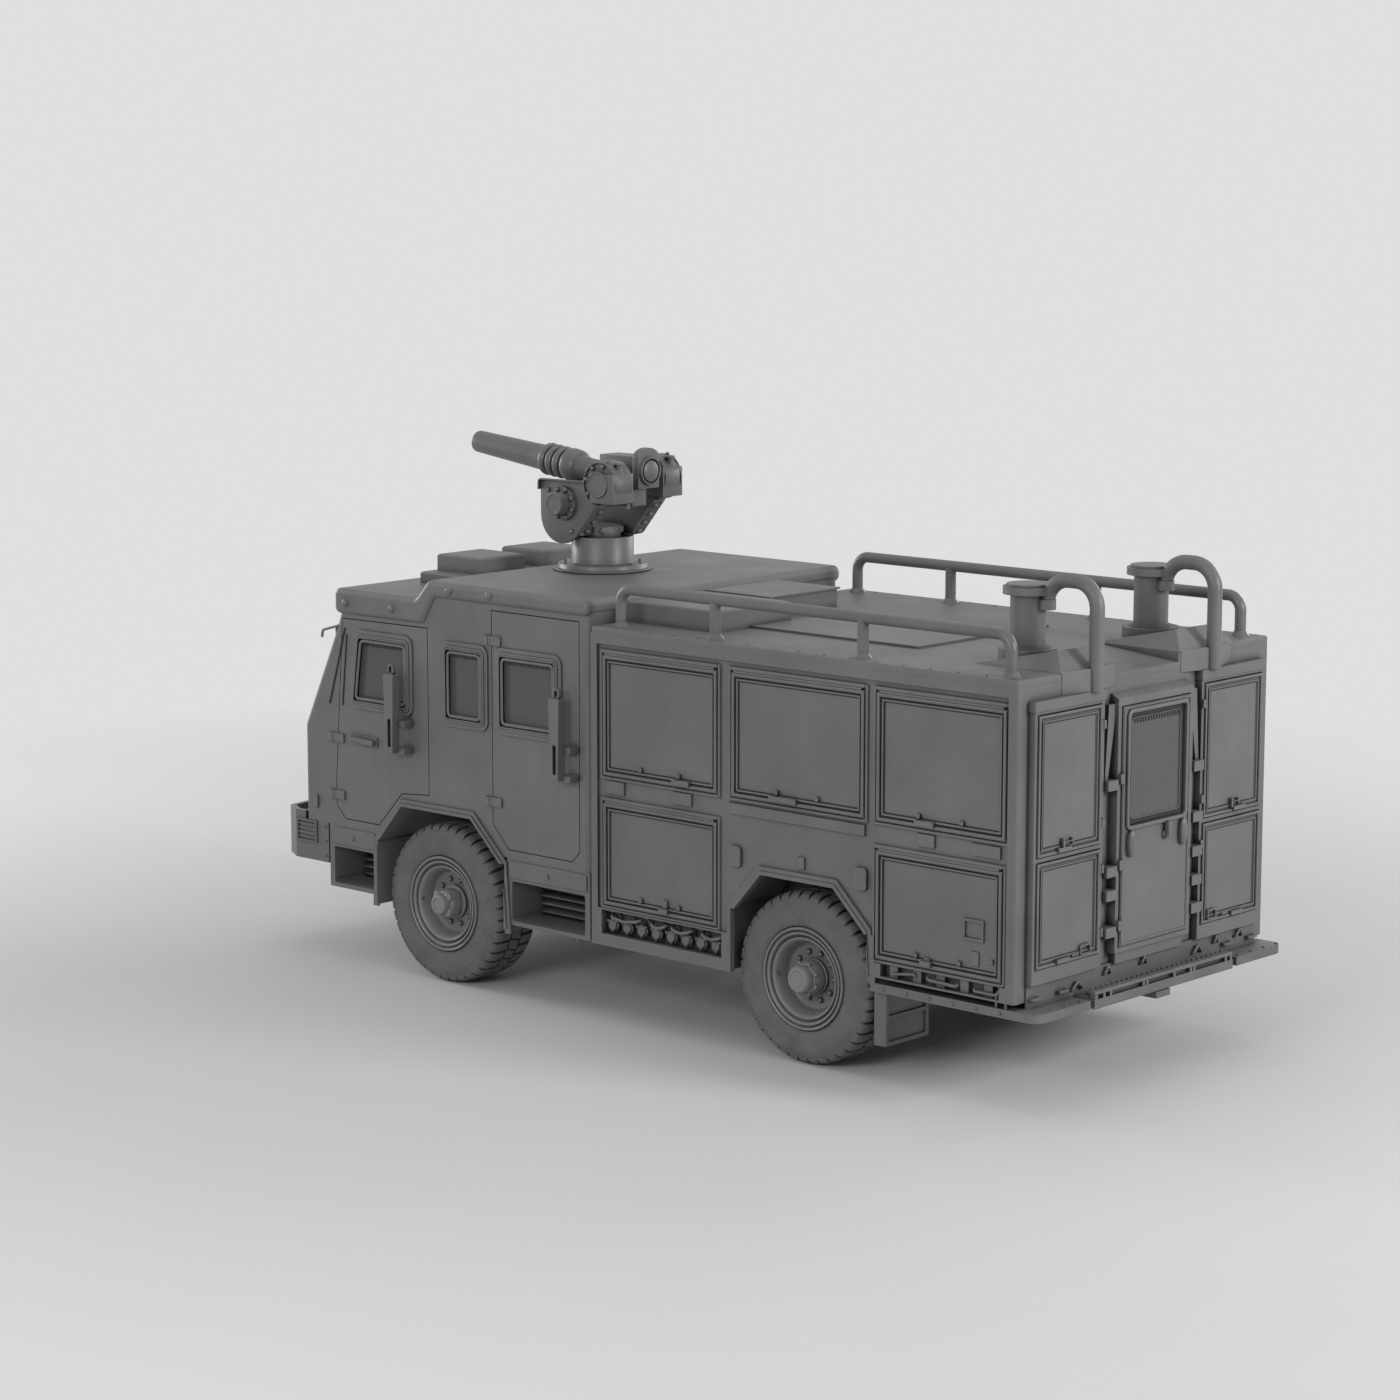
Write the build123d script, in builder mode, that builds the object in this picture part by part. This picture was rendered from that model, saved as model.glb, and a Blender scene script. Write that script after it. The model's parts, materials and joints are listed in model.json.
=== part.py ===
from build123d import *
import math
import os

os.makedirs("parts", exist_ok=True)

# Airport fire truck, two axles. Millimetres: +X is forward, +Y the truck's left, +Z up, tyres on Z = 0.
# Lengths called u are measured forward from the rear face of the body; at(u) gives X.
# Pieces that stand on one side only are drawn on the left and mirrored for the right.

# Driving sizes of the whole truck
PLATFORM_REAR = -165
BUMPER_FRONT = 6380
REAR = -(PLATFORM_REAR + BUMPER_FRONT) / 2
HALF_BODY = 1250
HALF_CAB = 1200
GAP = 6
PLAY = 0.3

# Wheels and axles
TYRE_R = 530
TYRE_WIDTH = 370
WHEEL_FACE = 1185
RIM_R = 318
BORE_R = 45
DISC_DEPTH = 110
FRONT_AXLE = 4770
REAR_AXLE = 1643
KINGPIN_Y = 1000

# Chassis
RAIL_BOTTOM = 680
RAIL_TOP = 860
RAIL_IN = 380
RAIL_OUT = 460
RAIL_FRONT = 6020

# Cab
CAB_REAR = 3400
CAB_NOSE = 6100
CAB_FLOOR = 930
CAB_WALL = 45
LOW_ROOF = 2545
HIGH_ROOF = 2670
ROOF_HALF = HALF_CAB + 25
NOSE_TOP = 1588
SCREEN_TOP = (5765, 2290)

# Body
BODY_FRONT = 3340
BODY_TOP = 2515
BODY_FLOOR = 880
ROOF_SHEET = 40
RECESS = 18
SKIN = HALF_BODY - RECESS
LOCKER_DEPTH = 480
LOCKER_BACK = SKIN - LOCKER_DEPTH
SIDE_IN = LOCKER_BACK - 22

# Wheel arches as corners of (u, z)
FRONT_ARCH = [(5364, 480), (5342, 887), (5121, 1141), (4466, 1142), (4190, 876), (4161, 480)]
REAR_ARCH = [(2160, 480), (2137, 898), (1920, 1139), (1350, 1140), (1111, 907), (1085, 480)]


def at(u):
    """X of a place u ahead of the body's rear face."""
    return REAR + u


def block(u0, u1, y0, y1, z0, z1, mode=Mode.ADD):
    with Locations((at((u0 + u1) / 2), (y0 + y1) / 2, (z0 + z1) / 2)):
        Box(abs(u1 - u0), abs(y1 - y0), abs(z1 - z0), mode=mode)


def side_plane(y):
    """Looks at the left side: local x is forward, local y is up."""
    return Plane(origin=(0, y, 0), x_dir=(1, 0, 0), z_dir=(0, -1, 0))


def side_prism(points, y0, y1, grow=0, corner=0, mode=Mode.ADD):
    """A side outline of (u, z) corners, from y0 to y1."""
    with BuildSketch(side_plane(min(y0, y1))) as outline:
        with BuildLine():
            Polyline([(at(u), z) for u, z in points], close=True)
        make_face()
        if corner:
            fillet(outline.vertices(), radius=corner)
        if grow:
            offset(amount=grow, kind=Kind.INTERSECTION, mode=Mode.REPLACE)
    extrude(outline.sketch, amount=-abs(y1 - y0), mode=mode)


def side_border(points, y0, y1, width, corner):
    """A border round a side outline, reaching its width outside it."""
    side_prism(points, y0, y1, grow=width, corner=corner)
    side_prism(points, y0, y1, corner=corner, mode=Mode.SUBTRACT)


def side_patch(u0, u1, z0, z1, radius, y0, y1, mode=Mode.ADD):
    """A rounded plate or hole in a side face."""
    with BuildSketch(side_plane(min(y0, y1))) as patch:
        with Locations((at((u0 + u1) / 2), (z0 + z1) / 2)):
            RectangleRounded(u1 - u0, z1 - z0, radius)
    extrude(patch.sketch, amount=-abs(y1 - y0), mode=mode)


def side_ring(u0, u1, z0, z1, width, y0, y1):
    """A raised border along the inside of a side rectangle."""
    with BuildSketch(side_plane(min(y0, y1))) as ring:
        with Locations((at((u0 + u1) / 2), (z0 + z1) / 2)):
            Rectangle(u1 - u0, z1 - z0)
            Rectangle(u1 - u0 - 2 * width, z1 - z0 - 2 * width, mode=Mode.SUBTRACT)
    extrude(ring.sketch, amount=-abs(y1 - y0))


def side_disc(u, z, radius, y0, y1, mode=Mode.ADD):
    rod((u, y0, z), (u, y1, z), radius, mode)


def rear_plane(u):
    """Looks forward from behind, mirrored: local x is the truck's left, local y is up."""
    return Plane(origin=(at(u), 0, 0), x_dir=(0, 1, 0), z_dir=(1, 0, 0))


def cross_prism(points, u0, u1, mode=Mode.ADD):
    """An outline of (y, z) corners across the truck, from u0 to u1."""
    with BuildSketch(rear_plane(u0)) as outline:
        with BuildLine():
            Polyline(points, close=True)
        make_face()
    extrude(outline.sketch, amount=u1 - u0, mode=mode)


def rear_patch(y0, y1, z0, z1, radius, u0, u1, mode=Mode.ADD):
    """A rounded plate or hole in a face that looks forward or back."""
    with BuildSketch(rear_plane(u0)) as patch:
        with Locations(((y0 + y1) / 2, (z0 + z1) / 2)):
            RectangleRounded(y1 - y0, z1 - z0, radius)
    extrude(patch.sketch, amount=u1 - u0, mode=mode)


def rear_ring(y0, y1, z0, z1, width, u0, u1):
    """A raised border along the inside of a rectangle that looks back."""
    with BuildSketch(rear_plane(u0)) as ring:
        with Locations(((y0 + y1) / 2, (z0 + z1) / 2)):
            Rectangle(y1 - y0, z1 - z0)
            Rectangle(y1 - y0 - 2 * width, z1 - z0 - 2 * width, mode=Mode.SUBTRACT)
    extrude(ring.sketch, amount=u1 - u0)


def plan_prism(points, z0, z1, grow=0, mode=Mode.ADD):
    """A plan outline of (u, y) corners, from z0 to z1."""
    with BuildSketch(Plane.XY.offset(z0)) as outline:
        with BuildLine():
            Polyline([(at(u), y) for u, y in points], close=True)
        make_face()
        if grow:
            offset(amount=grow, kind=Kind.INTERSECTION, mode=Mode.REPLACE)
    extrude(outline.sketch, amount=z1 - z0, mode=mode)


def rod(start, end, radius, mode=Mode.ADD):
    """A round bar between two (u, y, z) places."""
    a = Vector(at(start[0]), start[1], start[2])
    b = Vector(at(end[0]), end[1], end[2])
    with BuildSketch(Plane(origin=a, z_dir=b - a)) as circle:
        Circle(radius)
    extrude(circle.sketch, amount=(b - a).length, mode=mode)


def post(u, y, z0, z1, radius, mode=Mode.ADD):
    rod((u, y, z0), (u, y, z1), radius, mode)


def save(builder, name):
    builder.part.label = name
    export_step(builder.part, f"parts/{name}.step")


def save_pair(left, name):
    """Saves a left piece and its mirror image for the right."""
    save(left, f"{name}_left")
    with BuildPart() as right:
        mirror(left.part, about=Plane.XZ)
    save(right, f"{name}_right")


# Tyres and rims: masters stand at the origin, axle line along Y, outer face at Y = 0
TREAD_SIDES = 48
LUGS = TREAD_SIDES // 2
LUG_NOTCH = 30
LUG_DEPTH = 17
LUG_REACH = 100
SHOULDER = 40
# Tyre section as (depth inward from the outer face, radius)
TYRE_SECTION = [(0, 400), (SHOULDER, TYRE_R), (TYRE_WIDTH - SHOULDER, TYRE_R), (TYRE_WIDTH, 400)]
# Rim section, same columns
RIM_SECTION = [(8, RIM_R), (0, 310), (0, 296), (16, 292), (16, 282), (4, 278), (8, 258), (34, 228),
               (DISC_DEPTH - 6, 212), (DISC_DEPTH, 200), (DISC_DEPTH, 90), (DISC_DEPTH + 14, 90),
               (DISC_DEPTH + 14, 222), (TYRE_WIDTH - 30, 290), (TYRE_WIDTH - 8, 300), (TYRE_WIDTH - 8, RIM_R)]
WHEEL_BOLTS = 10
BOLT_CIRCLE_R = 160
HUB_FACE = 60
HUB_STUDS = 8


def wheel_plane(depth):
    return Plane(origin=(0, -depth, 0), x_dir=(1, 0, 0), z_dir=(0, 1, 0))


def shoulder_notches(y, shift):
    """Where the grooves across one shoulder stand."""
    places = []
    for n in range(LUGS):
        turn = (n + shift) * 360 / LUGS
        angle = math.radians(turn)
        places.append(Location((TYRE_R * math.sin(angle), y, TYRE_R * math.cos(angle)), (0, turn, 0)))
    return places


def hub_disc(depth, height, radius, mode=Mode.ADD):
    """A disc on the axle line that stands out from its depth."""
    with BuildSketch(wheel_plane(depth)) as disc:
        Circle(radius)
    extrude(disc.sketch, amount=height, mode=mode)


def stud_ring(depth, height, circle_r, count, size):
    """Hexagon heads on a circle."""
    with BuildSketch(wheel_plane(depth)) as studs:
        with PolarLocations(circle_r, count):
            RegularPolygon(size, 6)
    extrude(studs.sketch, amount=height)


def rim_shape():
    with BuildSketch(Plane(origin=(0, 0, 0), x_dir=(0, -1, 0), z_dir=(1, 0, 0))) as half:
        with BuildLine():
            Polyline(RIM_SECTION, close=True)
        make_face()
    revolve(half.sketch, axis=Axis.Y, revolution_arc=360)
    hub_disc(DISC_DEPTH + 14, DISC_DEPTH + 14 - HUB_FACE, 102)
    stud_ring(DISC_DEPTH + 4, 26, BOLT_CIRCLE_R, WHEEL_BOLTS, 17)


with BuildPart() as tyre_master:
    for depth, radius in TYRE_SECTION:
        with BuildSketch(wheel_plane(depth)):
            RegularPolygon(radius, TREAD_SIDES)
    loft(ruled=True)
    with BuildSketch(wheel_plane(TYRE_WIDTH + 1)):
        RegularPolygon(RIM_R, TREAD_SIDES, major_radius=False)
    extrude(amount=TYRE_WIDTH + 2, mode=Mode.SUBTRACT)
    with Locations(shoulder_notches(-LUG_REACH / 2, 0.25)):
        Box(LUG_NOTCH, LUG_REACH + 2, 2 * LUG_DEPTH, mode=Mode.SUBTRACT)
    with Locations(shoulder_notches(LUG_REACH / 2 - TYRE_WIDTH, 0.75)):
        Box(LUG_NOTCH, LUG_REACH + 2, 2 * LUG_DEPTH, mode=Mode.SUBTRACT)

with BuildPart() as front_rim_master:
    rim_shape()
    with BuildSketch(wheel_plane(HUB_FACE + 2)):
        RectangleRounded(172, 172, 42)
    extrude(amount=36)
    hub_disc(28, 16, 55)
    stud_ring(HUB_FACE + 2, 26, 90, HUB_STUDS, 13)
    hub_disc(DISC_DEPTH + 16, DISC_DEPTH - 54, BORE_R + PLAY, Mode.SUBTRACT)

with BuildPart() as rear_rim_master:
    rim_shape()
    hub_disc(HUB_FACE + 2, 46, 76)
    hub_disc(18, 14, 54)
    stud_ring(HUB_FACE + 2, 26, 88, HUB_STUDS, 13)
    hub_disc(DISC_DEPTH + 16, DISC_DEPTH - 54, BORE_R + PLAY, Mode.SUBTRACT)

# Each wheel: name, distance u of the axle, side, its rim
WHEELS = [("front_left", FRONT_AXLE, 1, front_rim_master), ("front_right", FRONT_AXLE, -1, front_rim_master),
          ("rear_left", REAR_AXLE, 1, rear_rim_master), ("rear_right", REAR_AXLE, -1, rear_rim_master)]

for name, u, side, rim_master in WHEELS:
    seat = Location((at(u), side * WHEEL_FACE, TYRE_R), (0, 0, 90 - 90 * side))
    with BuildPart() as tyre:
        with Locations(seat):
            add(tyre_master.part)
    save(tyre, f"tyre_{name}")
    with BuildPart() as rim:
        with Locations(seat):
            add(rim_master.part)
    save(rim, f"wheel_{name}")

# Steering knuckles, turning between the forks of the front axle
FORK_IN = 110
FORK_OUT = 136
SPINDLE_END = WHEEL_FACE - DISC_DEPTH + 35

with BuildPart() as knuckle:
    post(FRONT_AXLE, KINGPIN_Y, TYRE_R - FORK_IN + PLAY, TYRE_R + FORK_IN - PLAY, 44)
    rod((FRONT_AXLE, KINGPIN_Y, TYRE_R), (FRONT_AXLE, SPINDLE_END, TYRE_R), BORE_R)
save_pair(knuckle, "knuckle")


# Axles
NOSE_REACH = 205
# Half of the housing round the gears, as (y, radius)
HOUSING = [(-140, 0), (-140, 68), (-62, 165), (62, 165), (140, 68), (140, 0)]


def axle_tube(u, reach):
    rod((u, -reach, TYRE_R), (u, reach, TYRE_R), 68)
    with BuildSketch(Plane(origin=(at(u), 0, TYRE_R), x_dir=(0, 1, 0), z_dir=(1, 0, 0))) as half:
        with BuildLine():
            Polyline(HOUSING, close=True)
        make_face()
    revolve(half.sketch, axis=Axis((at(u), 0, TYRE_R), (0, 1, 0)), revolution_arc=360)
    rod((u - NOSE_REACH, 0, TYRE_R), (u + NOSE_REACH, 0, TYRE_R), 95)
    for side in (1, -1):
        block(u - 90, u + 90, side * 375, side * 465, TYRE_R, TYRE_R + 90)


with BuildPart() as front_axle:
    axle_tube(FRONT_AXLE, 835)
    for side in (1, -1):
        block(FRONT_AXLE - 60, FRONT_AXLE + 60, side * 820, side * 850, TYRE_R - FORK_OUT, TYRE_R + FORK_OUT)
        for low in (TYRE_R - FORK_OUT, TYRE_R + FORK_IN):
            high = low + FORK_OUT - FORK_IN
            block(FRONT_AXLE - 42, FRONT_AXLE + 42, side * 850, side * KINGPIN_Y, low, high)
            post(FRONT_AXLE, side * KINGPIN_Y, low, high, 42)
save(front_axle, "front_axle")

with BuildPart() as rear_axle:
    axle_tube(REAR_AXLE, 950)
    for side in (1, -1):
        rod((REAR_AXLE, side * 950, TYRE_R), (REAR_AXLE, side * 995, TYRE_R), 110)
        rod((REAR_AXLE, side * 950, TYRE_R), (REAR_AXLE, side * SPINDLE_END, TYRE_R), BORE_R)
save(rear_axle, "rear_axle")

# Leaf springs, seated on the axles and hung from the rails
# Leaves as (half length, bottom height above the axle line)
LEAVES = [(520, 120), (400, 105), (260, 90)]
with BuildPart() as springs:
    for u in (FRONT_AXLE, REAR_AXLE):
        for side in (1, -1):
            for half, low in LEAVES:
                block(u - half, u + half, side * 385, side * 455, TYRE_R + low, TYRE_R + low + 15)
            for end in (-505, 505):
                block(u + end - 22, u + end + 22, side * 385, side * 455, TYRE_R + 130, RAIL_BOTTOM)
save(springs, "leaf_springs")

# Chassis frame: two channel rails and their cross bars
CROSS_BARS = [250, 850, 1420, 1990, 2560, 3100, 3680, 4260, 4840, 5420, 5950]
CHANNEL_WALL = 14
with BuildPart() as chassis:
    for side in (1, -1):
        block(120, RAIL_FRONT, side * RAIL_IN, side * RAIL_OUT, RAIL_BOTTOM, RAIL_TOP)
        block(130, RAIL_FRONT - 10, side * (RAIL_IN - 5), side * (RAIL_OUT - CHANNEL_WALL),
              RAIL_BOTTOM + CHANNEL_WALL, RAIL_TOP - CHANNEL_WALL, Mode.SUBTRACT)
    for u in CROSS_BARS:
        block(u - 35, u + 35, -RAIL_OUT + 6, RAIL_OUT - 6, RAIL_BOTTOM + 30, RAIL_TOP - 30)
save(chassis, "chassis_frame")

# Transfer case with shafts to both axles, and the engine as one plain block in the rear bay
with BuildPart() as driveline:
    block(2900, 3250, -170, 170, 520, RAIL_BOTTOM + 30)
    rod((3250, 0, TYRE_R + 25), (FRONT_AXLE - NOSE_REACH, 0, TYRE_R + 25), 38)
    rod((2900, 0, TYRE_R + 25), (REAR_AXLE + NOSE_REACH, 0, TYRE_R + 25), 38)
    block(330, 1000, -400, 400, RAIL_TOP, 1500)
save(driveline, "engine_and_shafts")

# Cab: doors as side outlines of (u, z)
DOOR_ONE = [(4875, 1247), (5135, 1225), (5362, 985), (5690, 985), (5775, 1070), (5775, 1235),
            (5692, 2340), (4875, 2350)]
DOOR_TWO = [(4270, 2520), (4270, 1135), (4128, 985), (3560, 985), (3495, 1050), (3490, 2520)]
# Window openings as corners of (u, z)
WINDOW_ONE = [(5053, 1790), (5592, 1790), (5535, 2240), (5053, 2240)]
WINDOW_MID = [(4347, 1771), (4700, 1771), (4700, 2247), (4347, 2247)]
WINDOW_TWO = [(3681, 1771), (4200, 1771), (4200, 2250), (3681, 2250)]
WINDOW_CORNER = 26
WINDOW_BORDER = 42
PANE_SET_BACK = 20
PANE_THICK = 12
CAB_OUTLINE = [(CAB_REAR, CAB_FLOOR), (CAB_NOSE, CAB_FLOOR), (CAB_NOSE, NOSE_TOP), SCREEN_TOP,
               (SCREEN_TOP[0] - 40, 2400), (4890, 2400), (4780, 2580), (CAB_REAR, 2580)]
ROOF_OUTLINE = [(CAB_REAR - 5, HIGH_ROOF - 110), (4790, HIGH_ROOF - 110), (4905, 2375), (5757, 2375),
                (5757, LOW_ROOF), (4965, LOW_ROOF), (4852, HIGH_ROOF), (CAB_REAR - 5, HIGH_ROOF)]
CAB_SPACE = [(CAB_REAR + 40, CAB_FLOOR + 35), (CAB_NOSE - 45, CAB_FLOOR + 35), (CAB_NOSE - 45, NOSE_TOP - 10),
             (5718, 2285), (5690, LOW_ROOF - 60), (4935, LOW_ROOF - 60), (4822, HIGH_ROOF - 60),
             (CAB_REAR + 40, HIGH_ROOF - 60)]
ROOF_ROUND = 44
CAB_ROUND = 48
# Marker domes along the roof edge as (u, z)
MARKER_DOMES = [(5634, 2455), (5184, 2455), (4639, 2618), (4270, 2618)]
# Hinge lines and strap heights of the doors
FRONT_HINGE_U = 5792
CREW_HINGE_U = 4285
FRONT_STRAPS = (1110, 1500)
CREW_STRAPS = (1250, 2300)
STRAP_HEIGHT = 60
WELL_IN = 520

# Windscreen, on a plane that leans back with it
SCREEN_LEAN = CAB_NOSE - SCREEN_TOP[0]
SCREEN_RISE = SCREEN_TOP[1] - NOSE_TOP
SCREEN_CENTRE = (at(CAB_NOSE - SCREEN_LEAN / 2), 0, NOSE_TOP + SCREEN_RISE / 2)
SCREEN_PLANE = Plane(origin=SCREEN_CENTRE, x_dir=(0, 1, 0), z_dir=(SCREEN_RISE, 0, SCREEN_LEAN))
SCREEN_WIDTH = 2 * HALF_CAB - 270
SCREEN_HEIGHT = 640
VISOR = [(5745, 2300), (5925, 2256), (5925, 2204), (5915, 2204), (5915, 2246), (5745, 2286)]
GRILLE_HALF = 520
GRILLE_LOW = 1080
GRILLE_TOP = 1400
GRILLE_SLATS = 5


def window_frame(points):
    """Border and hole of a left side window."""
    side_prism(points, HALF_CAB - 1, HALF_CAB + 12, grow=WINDOW_BORDER, corner=WINDOW_CORNER)
    side_prism(points, HALF_CAB - 1, HALF_CAB + 20, grow=WINDOW_BORDER / 3, corner=WINDOW_CORNER)
    side_prism(points, HALF_CAB - CAB_WALL - 5, HALF_CAB + 22, corner=WINDOW_CORNER, mode=Mode.SUBTRACT)


def window_pane(points):
    face = HALF_CAB - PANE_SET_BACK
    side_prism(points, face - PANE_THICK, face, corner=WINDOW_CORNER)


def screen_shape(width, height, radius, low, high, mode=Mode.ADD):
    with BuildSketch(SCREEN_PLANE.offset(low)) as shape:
        RectangleRounded(width, height, radius)
    extrude(shape.sketch, amount=high - low, mode=mode)


with BuildPart() as cab_roof:
    side_prism(ROOF_OUTLINE, -ROOF_HALF, ROOF_HALF, corner=ROOF_ROUND)
    fillet(cab_roof.edges().filter_by(lambda e: abs(abs(e.center().Y) - ROOF_HALF) < 1), radius=ROOF_ROUND - 4)

# Left half of what stands on the cab's side, used on both sides
with BuildPart() as cab_side:
    side_prism(FRONT_ARCH, HALF_CAB - 1, HALF_CAB + 14, grow=48)
    side_prism(FRONT_ARCH, HALF_CAB - 1, HALF_CAB + 24, grow=20)
    window_frame(WINDOW_MID)
    for hinge_u, straps in ((FRONT_HINGE_U, FRONT_STRAPS), (CREW_HINGE_U, CREW_STRAPS)):
        for z in straps:
            block(hinge_u + 8 + PLAY, hinge_u + 50, HALF_CAB - 1, HALF_CAB + 18, z, z + STRAP_HEIGHT)
    for u, z in MARKER_DOMES:
        with Locations((at(u), ROOF_HALF - 6, z)):
            Sphere(30)
    side_patch(5960, 6000, 1024, 1114, 12, HALF_CAB - 1, HALF_CAB + 16)
    block(4100, 5450, HALF_CAB - 2, HALF_CAB + 30, 400, CAB_FLOOR, Mode.SUBTRACT)
    block(CAB_REAR + 40, 5600, RAIL_IN, RAIL_OUT - 20, RAIL_TOP, CAB_FLOOR + 1)

with BuildPart() as cab:
    side_prism(CAB_OUTLINE, -HALF_CAB, HALF_CAB)
    side_edges = cab.edges().filter_by(lambda e: abs(abs(e.center().Y) - HALF_CAB) < 1)
    fillet(side_edges.filter_by(lambda e: e.center().X > at(SCREEN_TOP[0] - 30) and e.center().Z > CAB_FLOOR + 1),
           radius=CAB_ROUND)
    fillet(cab.edges().filter_by(Axis.Z).filter_by(lambda e: e.center().X < at(CAB_REAR + 1)), radius=CAB_ROUND)
    add(cab_roof.part)
    side_prism(CAB_SPACE, -HALF_CAB + CAB_WALL, HALF_CAB - CAB_WALL, mode=Mode.SUBTRACT)
    for side in (1, -1):
        side_prism(FRONT_ARCH, side * (WELL_IN - 30), side * (HALF_CAB - 1), grow=35)
        block(4100, 5450, side * (WELL_IN - 40), side * (HALF_CAB + 1), 400, CAB_FLOOR, Mode.SUBTRACT)
    add(cab_side.part)
    mirror(cab_side.part, about=Plane.XZ)
    for side in (1, -1):
        side_prism(FRONT_ARCH, side * WELL_IN, side * (HALF_CAB + 30), mode=Mode.SUBTRACT)
        low, high = side * (HALF_CAB - CAB_WALL - 5), side * (HALF_CAB + 5)
        side_prism(DOOR_ONE, low, high, grow=GAP, mode=Mode.SUBTRACT)
        side_prism(DOOR_TWO, low, high, grow=GAP, mode=Mode.SUBTRACT)
        side_prism(WINDOW_MID, low, side * (HALF_CAB + 22), corner=WINDOW_CORNER, mode=Mode.SUBTRACT)
    screen_shape(SCREEN_WIDTH + 70, SCREEN_HEIGHT + 70, 60, -2, 9)
    screen_shape(SCREEN_WIDTH, SCREEN_HEIGHT, 50, -80, 20, Mode.SUBTRACT)
    side_prism(VISOR, -HALF_CAB + 140, HALF_CAB - 140)
    rear_ring(-GRILLE_HALF, GRILLE_HALF, GRILLE_LOW, GRILLE_TOP, 24, CAB_NOSE - 1, CAB_NOSE + 14)
    for n in range(1, GRILLE_SLATS + 1):
        z = GRILLE_LOW + n * (GRILLE_TOP - GRILLE_LOW) / (GRILLE_SLATS + 1)
        block(CAB_NOSE - 1, CAB_NOSE + 10, -GRILLE_HALF, GRILLE_HALF, z - 11, z + 11)
save(cab, "cab_shell")

# Fixed glass: windscreen and the side panes between the doors
with BuildPart() as mid_pane:
    window_pane(WINDOW_MID)
with BuildPart() as glass:
    screen_shape(SCREEN_WIDTH, SCREEN_HEIGHT, 50, -26, -14)
    add(mid_pane.part)
    mirror(mid_pane.part, about=Plane.XZ)
save(glass, "cab_glass")

# Step boxes under the cab floor with the lower legs of the arch, as (u0, u1, bottom)
STEP_BOXES = [(5376, 5855, 502), (3402, 4150, 490)]
STEP_DEPTH = 380
STEP_TOP = 800
STEP_SLATS = 4
STEP_WALL = 28

with BuildPart() as steps:
    step_back = HALF_CAB - STEP_DEPTH
    side_prism(FRONT_ARCH, step_back, HALF_CAB, grow=35)
    side_prism(FRONT_ARCH, HALF_CAB - 1, HALF_CAB + 14, grow=48)
    side_prism(FRONT_ARCH, HALF_CAB - 1, HALF_CAB + 24, grow=20)
    side_prism(FRONT_ARCH, step_back - 1, HALF_CAB + 30, mode=Mode.SUBTRACT)
    block(4000, 5500, step_back - 1, HALF_CAB + 30, CAB_FLOOR, 1300, Mode.SUBTRACT)
    block(4161, 5364, step_back - 1, HALF_CAB + 30, 400, 885, Mode.SUBTRACT)
    for u0, u1, low in STEP_BOXES:
        block(u0, u1, step_back, HALF_CAB, low, CAB_FLOOR)
        side_patch(u0 + 45, u1 - 45, low + STEP_WALL, STEP_TOP - 20, 18, step_back + 25, HALF_CAB + 1, Mode.SUBTRACT)
        side_patch(u0 + 25, u1 - 25, STEP_TOP + 4, CAB_FLOOR - 14, 10, HALF_CAB - 1, HALF_CAB + 8)
        side_disc((u0 + u1) / 2, STEP_TOP + 55, 16, HALF_CAB, HALF_CAB + 16)
        pitch = (STEP_TOP - 20 - STEP_WALL - low) / (STEP_SLATS + 1)
        for n in range(STEP_SLATS):
            z = low + STEP_WALL + (n + 1) * pitch
            near, far = step_back + 20, step_back + 110
            slat = [(near, z + 12), (far, z - 24), (far, z - 36), (near, z)]
            cross_prism(slat, u0 + 40, u1 - 40)
save_pair(steps, "cab_steps")

# Cab doors: name, outline, window, u of the hinge line, u of the grab bar's front, strap heights
DOORS = [("front", DOOR_ONE, WINDOW_ONE, FRONT_HINGE_U, 5155, FRONT_STRAPS),
         ("crew", DOOR_TWO, WINDOW_TWO, CREW_HINGE_U, 3630, CREW_STRAPS)]
HINGE_Y = HALF_CAB + 10
GRAB_LOW = 1515
GRAB_TOP = 2040
GRAB_WIDTH = 92
GRAB_BRACKETS = (GRAB_LOW - 6, GRAB_LOW + 176)
GRAB_NEAR = HALF_CAB + 75
GRAB_FAR = HALF_CAB + 137


def grab_bar(u):
    """Upright bar with a loop on top and a slot near its foot; u is its front edge."""
    rear = u - GRAB_WIDTH
    side_prism([(rear, GRAB_TOP), (u, GRAB_TOP), (u - 12, GRAB_LOW), (rear + 12, GRAB_LOW)],
               GRAB_NEAR, GRAB_FAR, corner=14)
    side_patch(u - 66, u - 36, GRAB_LOW + 40, GRAB_LOW + 230, 12, GRAB_NEAR - 1, GRAB_FAR + 2, Mode.SUBTRACT)
    loop = [(u - 62, GRAB_TOP + 6), (u - 34, GRAB_TOP + 6), (u - 34, GRAB_TOP + 52), (u - 62, GRAB_TOP + 52)]
    side_border(loop, GRAB_NEAR + 16, GRAB_NEAR + 42, 13, 12)
    for low in GRAB_BRACKETS:
        foot = [(rear - 48, low), (u - 30, low), (u - 45, low + 38), (rear - 48, low + 38)]
        side_prism(foot, HALF_CAB - 1, GRAB_NEAR + 10)


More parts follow.
